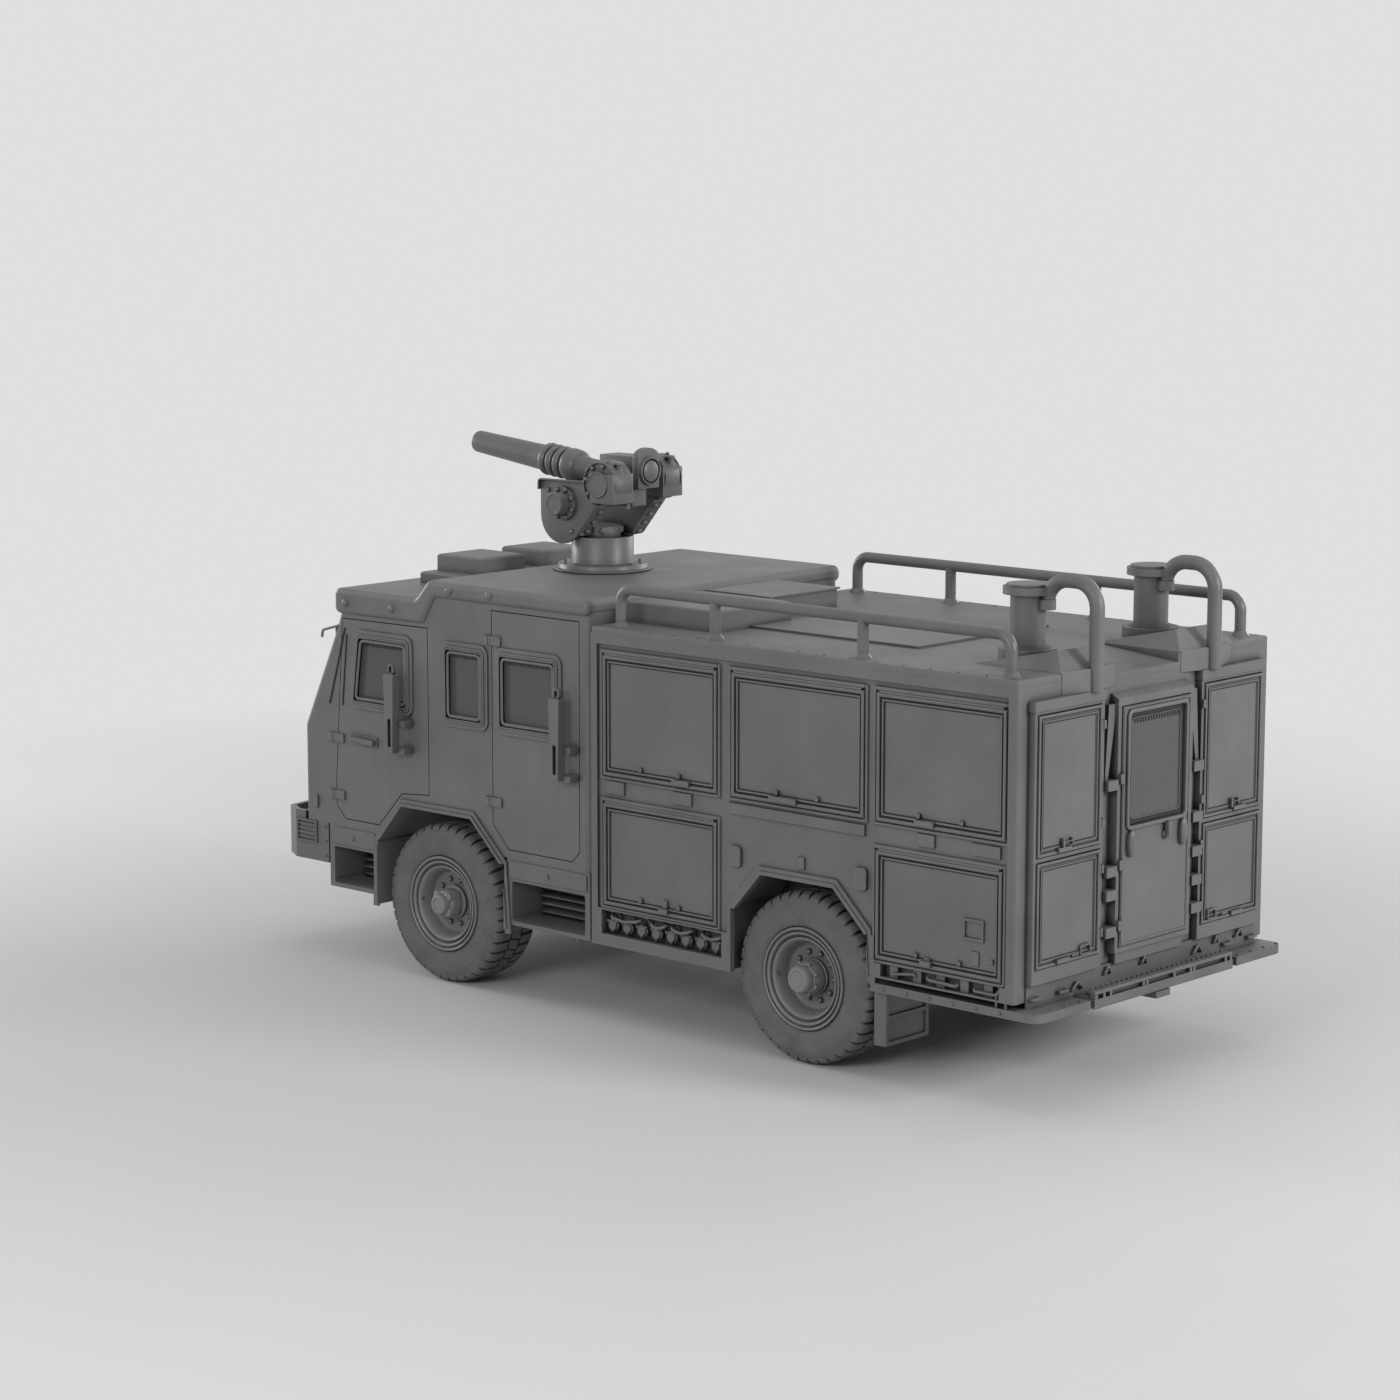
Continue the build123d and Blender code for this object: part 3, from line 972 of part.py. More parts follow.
# Water tank, one plain block in the middle of the body
with BuildPart() as tank:
    block(1200, 3220, -640, 640, BODY_FLOOR + 30, 2300)
save(tank, "water_tank")
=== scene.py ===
import json
import math

import bmesh
import bpy
from mathutils import Matrix, Vector
from mathutils.geometry import convex_hull_2d


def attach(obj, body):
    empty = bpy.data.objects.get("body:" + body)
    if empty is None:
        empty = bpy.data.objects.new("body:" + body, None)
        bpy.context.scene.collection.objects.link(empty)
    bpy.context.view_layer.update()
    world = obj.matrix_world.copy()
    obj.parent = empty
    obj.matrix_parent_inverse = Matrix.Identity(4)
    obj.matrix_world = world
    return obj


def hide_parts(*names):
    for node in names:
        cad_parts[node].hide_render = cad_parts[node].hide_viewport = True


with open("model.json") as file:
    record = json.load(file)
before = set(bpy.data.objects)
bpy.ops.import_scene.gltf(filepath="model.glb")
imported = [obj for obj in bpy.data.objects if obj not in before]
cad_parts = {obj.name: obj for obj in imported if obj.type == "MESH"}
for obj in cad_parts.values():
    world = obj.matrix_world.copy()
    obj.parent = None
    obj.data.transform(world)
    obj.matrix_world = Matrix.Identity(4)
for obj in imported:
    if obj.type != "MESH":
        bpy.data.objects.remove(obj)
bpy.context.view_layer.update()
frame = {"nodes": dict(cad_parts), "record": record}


scene = bpy.context.scene

# Lengths called u are metres ahead of the rear face of the body; X(u) is the place along the truck
REAR = -3.1075
SKIN_Y = 1.232  # outer skin of the body
WHEEL_FACE_Y = 1.185  # outer face of a tyre
TYRE_R = 0.53
TYRE_WIDTH = 0.37
AXLES = (("front", 4.770), ("rear", 1.643))
SIDES = (("left", 1), ("right", -1))
UPPER_LOCKER_Z, LOWER_LOCKER_Z = (1.588, 2.345), (0.765, 1.412)
LOCKERS = [("upper_front", 2.285, 3.240, *UPPER_LOCKER_Z), ("upper_middle", 1.125, 2.165, *UPPER_LOCKER_Z),
           ("upper_rear", 0.080, 1.030, *UPPER_LOCKER_Z), ("lower_front", 2.285, 3.240, *LOWER_LOCKER_Z),
           ("lower_rear", 0.100, 1.030, *LOWER_LOCKER_Z)]


def X(u):
    return REAR + u


# ---------------------------------------------------------------- node building
def feed(tree, node, sources):
    """Feeds a node's inputs, by name or number, with sockets to link or plain values to set."""
    for socket, source in sources.items():
        if isinstance(source, bpy.types.NodeSocket):
            tree.links.new(source, node.inputs[socket])
        else:
            node.inputs[socket].default_value = source
    return node


def add_node(tree, kind, sources=None, **settings):
    node = tree.nodes.new(kind)
    for key, value in settings.items():
        setattr(node, key, value)
    return feed(tree, node, sources or {})


def math_node(tree, operation, first, second, clamp=False):
    return add_node(tree, "ShaderNodeMath", {0: first, 1: second}, operation=operation, use_clamp=clamp).outputs[0]


def map_range(tree, value, low, high, to_low=0.0, to_high=1.0):
    return add_node(tree, "ShaderNodeMapRange", {
        "Value": value, "From Min": low, "From Max": high, "To Min": to_low, "To Max": to_high}).outputs[0]


def mix_colour(tree, factor, first, second):
    first, second = [c if isinstance(c, bpy.types.NodeSocket) else (*c, 1.0) for c in (first, second)]
    return add_node(tree, "ShaderNodeMix", {0: factor, 6: first, 7: second}, data_type="RGBA").outputs[2]


def noise(tree, vector, scale, detail=4.0, roughness=0.55):
    return add_node(tree, "ShaderNodeTexNoise", {
        "Vector": vector, "Scale": scale, "Detail": detail, "Roughness": roughness}).outputs["Fac"]


def object_place(tree, scale=None, turn=(0, 0, 0)):
    place = add_node(tree, "ShaderNodeTexCoord").outputs["Object"]
    if scale is None:
        return place
    return add_node(tree, "ShaderNodeMapping", {"Vector": place, "Scale": scale, "Rotation": turn}).outputs[0]


def effect_group(name, inputs, outputs):
    """A shared finish effect; returns its tree, the inner input sockets and the output node."""
    tree = bpy.data.node_groups.new(name, "ShaderNodeTree")
    for label, value in inputs.items():
        tree.interface.new_socket(name=label, in_out="INPUT", socket_type="NodeSocketFloat").default_value = value
    for label in outputs:
        kind = "NodeSocketVector" if "Normal" in label else "NodeSocketFloat"
        tree.interface.new_socket(name=label, in_out="OUTPUT", socket_type=kind)
    inner = add_node(tree, "NodeGroupInput").outputs
    return tree, inner, add_node(tree, "NodeGroupOutput")


def edge_wear_effect():
    """Worn edges: where the rounded normal leaves the flat one, broken up by noise."""
    tree, given, result = effect_group("Edge Wear", {"Width": 0.006, "Breakup": 14.0}, ["Mask", "Rounded Normal"])
    rounded = add_node(tree, "ShaderNodeBevel", {"Radius": given["Width"]}, samples=4).outputs[0]
    flat = add_node(tree, "ShaderNodeNewGeometry").outputs["Normal"]
    dot = add_node(tree, "ShaderNodeVectorMath", {0: rounded, 1: flat}, operation="DOT_PRODUCT")
    edge = map_range(tree, dot.outputs["Value"], 0.97, 0.80)
    patches = map_range(tree, noise(tree, object_place(tree), given["Breakup"]), 0.42, 0.62)
    mask = math_node(tree, "MULTIPLY", edge, patches, clamp=True)
    feed(tree, result, {"Mask": mask, "Rounded Normal": rounded})
    return tree


def road_dust_effect():
    """Dust that thickens towards the ground and lies on what faces up."""
    tree, given, result = effect_group("Road Dust", {"Top": 1.1, "Patch": 3.0, "Settled": 0.4}, ["Mask"])
    place = object_place(tree)
    height = add_node(tree, "ShaderNodeSeparateXYZ", {0: place})
    low = map_range(tree, height.outputs["Z"], given["Top"], 0.0)
    clouds = map_range(tree, noise(tree, place, given["Patch"], 6.0), 0.35, 0.70)
    normal = add_node(tree, "ShaderNodeNewGeometry").outputs["Normal"]
    facing = add_node(tree, "ShaderNodeSeparateXYZ", {0: normal})
    lying = math_node(tree, "MULTIPLY", map_range(tree, facing.outputs["Z"], 0.5, 1.0), given["Settled"])
    total = math_node(tree, "ADD", low, lying, clamp=True)
    feed(tree, result, {"Mask": math_node(tree, "MULTIPLY", total, clouds, clamp=True)})
    return tree


def rain_streak_effect():
    """Faint upright runs left by rain."""
    tree, given, result = effect_group("Rain Streaks", {"Density": 1.0}, ["Mask"])
    runs = noise(tree, object_place(tree, (16, 16, 0.9)), given["Density"], 5.0, 0.6)
    feed(tree, result, {"Mask": map_range(tree, runs, 0.50, 0.78)})
    return tree


def fine_grain_effect():
    """Spray grain: a height for the bump and a mask that varies tone and gloss."""
    tree, given, result = effect_group("Fine Grain", {"Grain Size": 400.0, "Tone Size": 2.2}, ["Height", "Tone"])
    place = object_place(tree)
    clouds = noise(tree, place, given["Tone Size"], 5.0)
    feed(tree, result, {"Height": noise(tree, place, given["Grain Size"], 2.0),
                        "Tone": map_range(tree, clouds, 0.3, 0.7)})
    return tree


def crevice_shade_effect():
    """Painted shade: darkens gaps and inner corners that little light reaches, broken up a little by noise."""
    tree, given, result = effect_group("Crevice Shade", {"Reach": 0.06}, ["Mask"])
    closeness = add_node(tree, "ShaderNodeAmbientOcclusion", {"Distance": given["Reach"]}, samples=6)
    shut_in = map_range(tree, closeness.outputs["AO"], 0.84, 0.36)
    patches = map_range(tree, noise(tree, object_place(tree), 9.0), 0.2, 0.6, 0.75, 1.0)
    feed(tree, result, {"Mask": math_node(tree, "MULTIPLY", shut_in, patches, clamp=True)})
    return tree


EDGE_WEAR = edge_wear_effect()
CREVICE_SHADE = crevice_shade_effect()
ROAD_DUST = road_dust_effect()
RAIN_STREAKS = rain_streak_effect()
FINE_GRAIN = fine_grain_effect()


def place_effect(tree, group, **values):
    sources = {name.replace("_", " ").title(): value for name, value in values.items()}
    node = add_node(tree, "ShaderNodeGroup", node_tree=group)
    return feed(tree, node, sources).outputs


def start_material(name):
    material = bpy.data.materials.new(name)
    material.use_nodes = True
    return material, material.node_tree, material.node_tree.nodes["Principled BSDF"]


def bump(tree, height, strength, distance, normal=None):
    sources = {"Strength": strength, "Distance": distance, "Height": height}
    if normal is not None:
        sources["Normal"] = normal
    return add_node(tree, "ShaderNodeBump", sources).outputs[0]


def shade(colour, share):
    return tuple(c * share for c in colour)


def wash(tree, tone, mask, strength, colour):
    """Lays a colour over a tone where a mask says so."""
    return mix_colour(tree, math_node(tree, "MULTIPLY", mask, strength), tone, colour)


DUST = (0.21, 0.205, 0.195)


def painted_metal(name, colour, worn, rough=0.45, metallic=0.0, edge=0.006, dust_top=1.1, grain=400.0,
                  wear=0.6, streaks=0.18, shade_reach=0.07):
    """Sprayed paint over metal: cloudy tone, rain runs, rubbed edges, road dust, and painted shade that darkens the
    gaps.
    """
    material, tree, shader = start_material(name)
    edges = place_effect(tree, EDGE_WEAR, width=edge)
    grains = place_effect(tree, FINE_GRAIN, grain_size=grain)
    dusty = place_effect(tree, ROAD_DUST, top=dust_top)
    runs = place_effect(tree, RAIN_STREAKS)
    gap_shade = place_effect(tree, CREVICE_SHADE, reach=shade_reach)
    tone = mix_colour(tree, grains["Tone"], shade(colour, 0.86), shade(colour, 1.08))
    tone = wash(tree, tone, runs["Mask"], streaks, shade(colour, 0.55))
    tone = wash(tree, tone, edges["Mask"], wear, worn)
    tone = wash(tree, tone, dusty["Mask"], 0.30, DUST)
    # painted shade: gaps and inner corners darken to a tenth of the paint's tone
    tone = wash(tree, tone, gap_shade["Mask"], 0.92, shade(colour, 0.10))
    gloss = map_range(tree, grains["Tone"], 0.0, 1.0, rough - 0.05, rough + 0.06)
    gloss = math_node(tree, "ADD", gloss, math_node(tree, "MULTIPLY", dusty["Mask"], 0.25), clamp=True)
    feed(tree, shader, {"Base Color": tone, "Roughness": gloss, "Metallic": metallic,
                        "Normal": bump(tree, grains["Height"], 0.10, 0.001, edges["Rounded Normal"])})
    return material


def tread_plate(name, colour, worn):
    """Chequer plate: raised diamonds on a brushed sheet."""
    material, tree, shader = start_material(name)
    edges = place_effect(tree, EDGE_WEAR, width=0.005)
    dusty = place_effect(tree, ROAD_DUST, top=1.0, settled=0.7)
    grains = place_effect(tree, FINE_GRAIN, grain_size=260.0, tone_size=3.0)
    gap_shade = place_effect(tree, CREVICE_SHADE)
    waves = []
    for turn in (45, -45):
        cells = add_node(tree, "ShaderNodeTexVoronoi", feature="DISTANCE_TO_EDGE")
        feed(tree, cells, {"Vector": object_place(tree, (34, 11, 1), (0, 0, math.radians(turn))), "Scale": 1.0,
                           "Randomness": 0.0})
        waves.append(map_range(tree, cells.outputs["Distance"], 0.24, 0.36))
    studs = math_node(tree, "MAXIMUM", *waves)
    tone = mix_colour(tree, grains["Tone"], shade(colour, 0.85), shade(colour, 1.1))
    tone = wash(tree, tone, studs, 0.25, worn)
    tone = wash(tree, tone, edges["Mask"], 0.6, worn)
    tone = wash(tree, tone, dusty["Mask"], 0.3, DUST)
    # painted shade: gaps and inner corners of the plate darken
    tone = wash(tree, tone, gap_shade["Mask"], 0.8, shade(colour, 0.16))
    feed(tree, shader, {"Base Color": tone, "Metallic": 0.35,
                        "Roughness": map_range(tree, studs, 0.0, 1.0, 0.55, 0.38),
                        "Normal": bump(tree, studs, 0.35, 0.003, edges["Rounded Normal"])})
    return material


def rubber(name, colour, dust, dust_top=1.2):
    material, tree, shader = start_material(name)
    grains = place_effect(tree, FINE_GRAIN, grain_size=900.0, tone_size=9.0)
    dusty = place_effect(tree, ROAD_DUST, top=dust_top, patch=7.0, settled=0.2)
    edges = place_effect(tree, EDGE_WEAR, width=0.005, breakup=30.0)
    gap_shade = place_effect(tree, CREVICE_SHADE, reach=0.035)
    tone = mix_colour(tree, grains["Tone"], shade(colour, 0.82), shade(colour, 1.12))
    tone = wash(tree, tone, dusty["Mask"], 0.55, dust)
    tone = wash(tree, tone, edges["Mask"], 0.35, dust)
    # painted shade: hollows between lugs and inner corners darken
    tone = wash(tree, tone, gap_shade["Mask"], 0.8, shade(colour, 0.2))
    feed(tree, shader, {"Base Color": tone, "Specular IOR Level": 0.35,
                        "Roughness": map_range(tree, grains["Tone"], 0.0, 1.0, 0.62, 0.80),
                        "Normal": bump(tree, grains["Height"], 0.25, 0.001, edges["Rounded Normal"])})
    return material


def tinted_glass(name, colour, clear):
    """Smoked safety glass with a film of dust."""
    material, tree, shader = start_material(name)
    dusty = place_effect(tree, ROAD_DUST, top=2.9, patch=1.6, settled=0.2)
    runs = place_effect(tree, RAIN_STREAKS, density=1.4)
    film = math_node(tree, "ADD", math_node(tree, "MULTIPLY", dusty["Mask"], 0.3),
                     math_node(tree, "MULTIPLY", runs["Mask"], 0.25), clamp=True)
    feed(tree, shader, {"Base Color": mix_colour(tree, film, colour, shade(colour, 1.5)), "IOR": 1.3,
                        "Roughness": map_range(tree, film, 0.0, 1.0, 0.10, 0.42), "Transmission Weight": clear})
    return material


def lamp_lens(name):
    material, tree, shader = start_material(name)
    ridges = add_node(tree, "ShaderNodeTexWave", {"Vector": object_place(tree), "Scale": 22.0},
                      bands_direction="Y").outputs["Fac"]
    feed(tree, shader, {"Base Color": mix_colour(tree, ridges, (0.42, 0.43, 0.44), (0.60, 0.61, 0.62)),
                        "Roughness": 0.14, "Coat Weight": 0.8, "Normal": bump(tree, ridges, 0.5, 0.002)})
    return material


def woven_seat(name, colour):
    material, tree, shader = start_material(name)
    threads = [add_node(tree, "ShaderNodeTexWave", {"Vector": object_place(tree), "Scale": 90.0, "Distortion": 1.2},
                        bands_direction=direction).outputs["Fac"] for direction in ("Y", "X")]
    weave = math_node(tree, "MULTIPLY", *threads)
    grains = place_effect(tree, FINE_GRAIN, grain_size=500.0, tone_size=6.0)
    tone = mix_colour(tree, grains["Tone"], shade(colour, 0.8), colour)
    feed(tree, shader, {"Base Color": mix_colour(tree, weave, tone, shade(colour, 1.5)), "Roughness": 0.88,
                        "Sheen Weight": 0.3, "Normal": bump(tree, weave, 0.4, 0.001)})
    return material


def moulded_plastic(name, colour, rough):
    material, tree, shader = start_material(name)
    grains = place_effect(tree, FINE_GRAIN, grain_size=650.0, tone_size=5.0)
    edges = place_effect(tree, EDGE_WEAR, width=0.004)
    tone = mix_colour(tree, grains["Tone"], shade(colour, 0.85), colour)
    feed(tree, shader, {"Base Color": wash(tree, tone, edges["Mask"], 0.4, shade(colour, 1.6)), "Roughness": rough,
                        "Normal": bump(tree, grains["Height"], 0.3, 0.001, edges["Rounded Normal"])})
    return material


BRIGHT_EDGE = (0.26, 0.262, 0.265)
# Dark rubber for wipers, piping and marks; it also paints the shade in the gaps round doors and panes.
dark_rubber_and_shade = rubber("dark_rubber_and_shade", (0.035, 0.035, 0.036), (0.07, 0.068, 0.065), 0.4)
FINISHES = {
    "body_paint": painted_metal("body_primer", (0.145, 0.147, 0.148), BRIGHT_EDGE, rough=0.46),
    "cab_paint": painted_metal("cab_primer", (0.148, 0.150, 0.151), BRIGHT_EDGE, rough=0.44),
    "trim_paint": painted_metal("trim_primer", (0.136, 0.138, 0.140), (0.28, 0.283, 0.286), rough=0.40, edge=0.004),
    "chassis_paint": painted_metal("chassis_grey", (0.085, 0.086, 0.088), (0.16, 0.16, 0.16), rough=0.58,
                                   dust_top=1.3, grain=220.0, wear=0.4),
    # the rim's wide reach of painted shade darkens its deep hollow
    "wheel_paint": painted_metal("rim_grey", (0.215, 0.217, 0.219), (0.38, 0.38, 0.385), rough=0.36, edge=0.004,
                                 dust_top=0.9, streaks=0.05, shade_reach=0.11),
    "cast": painted_metal("cast_metal", (0.095, 0.096, 0.098), (0.18, 0.18, 0.18), rough=0.62, metallic=0.2,
                          dust_top=1.3, grain=120.0, wear=0.5),
    "tank": moulded_plastic("tank_plastic", (0.15, 0.15, 0.15), 0.5),
    "dash": moulded_plastic("dash_plastic", (0.055, 0.055, 0.058), 0.6),
    "step_metal": tread_plate("step_plate", (0.155, 0.157, 0.16), (0.30, 0.30, 0.305)),
    "tyre": rubber("tyre_rubber", (0.128, 0.128, 0.129), (0.19, 0.186, 0.18)),
    "glass": tinted_glass("tinted_pane", (0.118, 0.121, 0.123), 0.16),
    "lamp": lamp_lens("lamp_lens"),
    "seat": woven_seat("seat_cloth", (0.05, 0.051, 0.055))}

slot_of = {part["node"]: part["material_slot"] for part in frame["record"]["subparts"]}
for node_name, node_object in frame["nodes"].items():
    finish = FINISHES[slot_of[node_name]]
    if node_object.material_slots:
        for slot in node_object.material_slots:
            slot.material = finish
    else:
        node_object.data.materials.append(finish)


# ---------------------------------------------------------------- mesh building
def new_object(name, mesh):
    made = bpy.data.objects.new(name, mesh)
    scene.collection.objects.link(made)
    return made


def finish_mesh(name, bm, material, smooth=False):
    """Merges doubles, turns the faces outwards and gives the mesh its material."""
    bmesh.ops.remove_doubles(bm, verts=bm.verts, dist=1e-6)
    bmesh.ops.recalc_face_normals(bm, faces=bm.faces)
    mesh = bpy.data.meshes.new(name)
    bm.to_mesh(mesh)
    bm.free()
    mesh.materials.append(material)
    for face in mesh.polygons:
        face.use_smooth = smooth
    return mesh


def add_piece(name, mesh, body, replaces=None):
    piece = new_object(name, mesh)
    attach(piece, body)
    if replaces:
        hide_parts(replaces)
    return piece


def flat_piece(name, bm, body, slot, replaces=None):
    return add_piece(name, finish_mesh(name, bm, FINISHES[slot]), body, replaces)


def smooth_piece(name, bm, body, slot, replaces=None, material=None):
    """A piece whose smooth faces break at the sharp edges."""
    mesh = finish_mesh(name, bm, material or FINISHES[slot], smooth=True)
    mesh.set_sharp_from_angle(angle=math.radians(38))
    return add_piece(name, mesh, body, replaces)


def round_edges(bm, edges, width):
    bmesh.ops.bevel(bm, geom=list(edges), offset=width, segments=2, affect="EDGES", profile=0.6)


def add_box(bm, u_span, y_span, z_span, bevel=0.0):
    """A box between two places along each axis, its edges rounded by bevel."""
    low = Vector((X(min(u_span)), min(y_span), min(z_span)))
    high = Vector((X(max(u_span)), max(y_span), max(z_span)))
    place = Matrix.Translation((high + low) / 2) @ Matrix.Diagonal((*(high - low), 1.0))
    made = bmesh.ops.create_cube(bm, size=1.0, matrix=place)
    if bevel:
        round_edges(bm, {edge for vert in made["verts"] for edge in vert.link_edges}, bevel)


def add_rod(bm, start, end, radius, sides):
    a, b = Vector(start), Vector(end)
    turn = (b - a).to_track_quat("Z", "Y").to_matrix().to_4x4()
    bmesh.ops.create_cone(bm, cap_ends=True, segments=sides, radius1=radius, radius2=radius,
                          depth=(b - a).length, matrix=Matrix.Translation((a + b) / 2) @ turn)


def quad_strips(bm, rings):
    """Faces between each two rings that follow one another."""
    for first, second in rings:
        count = max(len(first), len(second))
        for n in range(count):
            m = (n + 1) % count
            corners = [first[n % len(first)], first[m % len(first)], second[m % len(second)], second[n % len(second)]]
            bm.faces.new(list(dict.fromkeys(corners))).smooth = True


def lathe(bm, profile, centre, axis, segments=64, side=1, squeeze=None):
    """Spins (along, radius) pairs about an axis; a profile that never meets the axis closes on itself."""
    centre, axis = Vector(centre), Vector(axis).normalized()
    across = axis.orthogonal().normalized()
    other = axis.cross(across)
    angles = [math.tau * n / segments for n in range(segments)]
    rings = []
    for along, radius in profile:
        middle = centre + axis * along * side
        spokes = [across * math.cos(a) + other * math.sin(a) for a in angles] if radius > 1e-6 else [axis]
        rings.append([bm.verts.new(middle + spoke * radius) for spoke in spokes])
    open_ended = len(rings[0]) == 1 or len(rings[-1]) == 1
    quad_strips(bm, zip(rings, rings[1:] if open_ended else rings[1:] + rings[:1]))
    if squeeze:
        for vert in {v for ring in rings for v in ring}:
            vert.co = [c + (p - c) * k for p, c, k in zip(vert.co, centre, squeeze)]


def add_prism(bm, outline, levels, axis="Y", bevel=0.0):
    """An outline of (u, z) pairs pushed out along Y, or of (y, z) pairs along X, between two levels."""
    ends = [[bm.verts.new((X(a), level, b) if axis == "Y" else (X(level), a, b)) for a, b in outline]
            for level in sorted(levels)]
    faces = [bm.faces.new(ends[0]), bm.faces.new(ends[1])]
    count = len(outline)
    for n in range(count):
        m = (n + 1) % count
        faces.append(bm.faces.new((ends[0][n], ends[0][m], ends[1][m], ends[1][n])))
    bmesh.ops.recalc_face_normals(bm, faces=faces)
    if bevel:
        round_edges(bm, {edge for face in faces[:2] for edge in face.edges}, bevel)


def rounded_path(corners, radius, steps=5):
    """A closed path through flat corners, each rounded off."""
    path = []
    for n, corner in enumerate(corners):
        corner = Vector(corner)
        before, after = Vector(corners[n - 1]), Vector(corners[(n + 1) % len(corners)])
        start = corner + (before - corner).normalized() * radius
        end = corner + (after - corner).normalized() * radius
        for k in range(steps + 1):
            t = k / steps
            path.append(start * (1 - t) ** 2 + corner * 2 * t * (1 - t) + end * t * t)
    return path


# Section of a bead as shares of its (width, height)
BEAD_SECTION = [(-0.5, 0.0), (-0.42, 0.62), (-0.2, 0.96), (0.2, 0.96), (0.42, 0.62), (0.5, 0.0), (0.5, -0.3),
                (-0.5, -0.3)]


def bead_loop(bm, corners, radius, width, level, height, plane="Y", side=1):
    """A half-round bead round a closed outline, raised from a level towards one side."""
    path = rounded_path(corners, radius)
    rings = []
    for n, point in enumerate(path):
        run = (path[(n + 1) % len(path)] - path[n - 1]).normalized()
        away = Vector((-run.y, run.x))
        ring = []
        for across, up in BEAD_SECTION:
            flat = point + away * across * width
            lift = side * (level + up * height)
            ring.append(bm.verts.new((X(flat.x), lift, flat.y) if plane == "Y" else (X(lift), flat.x, flat.y)))
        rings.append(ring)
    quad_strips(bm, zip(rings, rings[1:] + rings[:1]))


def shrink(corners, by):
    """Moves each corner of a four-cornered outline towards its middle."""
    middle = [sum(values) / 4 for values in zip(*corners)]
    return [tuple(c + (by if c < m else -by) for c, m in zip(corner, middle)) for corner in corners]


def four_corners(a0, a1, b0, b1):
    return [(a0, b0), (a1, b0), (a1, b1), (a0, b1)]


def beads_piece(name, outlines, body, slot, material=None, **where):
    """Beads round outlines: (corners, [(inset, corner radius, width, level, height)]) pairs."""
    bm = bmesh.new()
    for corners, beads in outlines:
        for inset, *shape in beads:
            bead_loop(bm, shrink(corners, inset), *shape, **where)
    smooth_piece(name, bm, body, slot, material=material)


def hull_outline(circles, steps=28):
    """The belt round a few circles given as (u, z, radius)."""
    dots = [(u + r * math.cos(math.tau * n / steps), z + r * math.sin(math.tau * n / steps))
            for u, z, r in circles for n in range(steps)]
    return [dots[n] for n in convex_hull_2d(dots)]


def plain_copy(name, data, modifier_values=None, tree=None):
    """The evaluated mesh of a curve, or of a mesh run through a geometry node tree."""
    carrier = new_object(name, data)
    if tree:
        modifier = carrier.modifiers.new(name, "NODES")
        modifier.node_group = tree
        for socket in tree.interface.items_tree:
            if socket.in_out == "INPUT" and socket.name in modifier_values:
                modifier[socket.identifier] = modifier_values[socket.name]
    result = bpy.data.meshes.new_from_object(carrier.evaluated_get(bpy.context.evaluated_depsgraph_get()))
    bpy.data.objects.remove(carrier)
    return result


def grow(name, mesh, tree, **values):
    """Runs a geometry node tree on a mesh and returns the plain result."""
    return plain_copy(name, mesh, {key.title(): value for key, value in values.items()}, tree)


def pipe_mesh(points, radius, bend, sides=3):
    """A bent round bar through a few corner points."""
    curve = bpy.data.curves.new("pipe", "CURVE")
    curve.dimensions = "3D"
    curve.bevel_depth = radius
    curve.bevel_resolution = sides
    curve.use_fill_caps = True
    spline = curve.splines.new("BEZIER")
    rounded = [Vector(points[0])]
    for before, corner, after in zip(points, points[1:], points[2:]):
        for other in (before, after):
            away = (Vector(other) - Vector(corner)).normalized()
            rounded.append(Vector(corner) + away * bend)
    rounded.append(Vector(points[-1]))
    spline.bezier_points.add(len(rounded) - 1)
    for knot, place in zip(spline.bezier_points, rounded):
        knot.co = place
        knot.handle_left_type = knot.handle_right_type = "VECTOR"
    for first in range(1, len(rounded) - 1, 2):
        corner = Vector(points[(first + 1) // 2])
        a, b = spline.bezier_points[first], spline.bezier_points[first + 1]
        a.handle_right_type = b.handle_left_type = "FREE"
        a.handle_right = a.co.lerp(corner, 0.55)
        b.handle_left = b.co.lerp(corner, 0.55)
    return plain_copy("pipe", curve)


def pipes_piece(name, pipes, body, slot, material=None):
    """Bars given as (points with u first, radius, bend), joined into one piece."""
    bm = bmesh.new()
    for points, radius, bend in pipes:
        bm.from_mesh(pipe_mesh([(X(u), y, z) for u, y, z in points], radius, bend))
    merged = bpy.data.meshes.new(name)
    bm.to_mesh(merged)
    bm.free()
    merged.materials.append(material or FINISHES[slot])
    return add_piece(name, merged, body)


# ---------------------------------------------------------------- geometry node trees
def geometry_tree(name, inputs):
    tree = bpy.data.node_groups.new(name, "GeometryNodeTree")
    tree.interface.new_socket(name="Geometry", in_out="INPUT", socket_type="NodeSocketGeometry")
    for label, kind, value in inputs:
        tree.interface.new_socket(name=label, in_out="INPUT", socket_type=kind).default_value = value
    tree.interface.new_socket(name="Material", in_out="INPUT", socket_type="NodeSocketMaterial")
    tree.interface.new_socket(name="Geometry", in_out="OUTPUT", socket_type="NodeSocketGeometry")
    return tree, add_node(tree, "NodeGroupInput").outputs


def end_tree(tree, given, points, piece, rotation=(0, 0, 0)):
    """Places a piece on points, makes the copies real and gives them the material."""
    placed = add_node(tree, "GeometryNodeInstanceOnPoints",
                      {"Points": points, "Instance": piece, "Rotation": rotation}).outputs[0]
    real = add_node(tree, "GeometryNodeRealizeInstances", {0: placed}).outputs[0]
    coated = add_node(tree, "GeometryNodeSetMaterial", {"Geometry": real, "Material": given["Material"]}).outputs[0]
    add_node(tree, "NodeGroupOutput", {0: coated})
    return tree


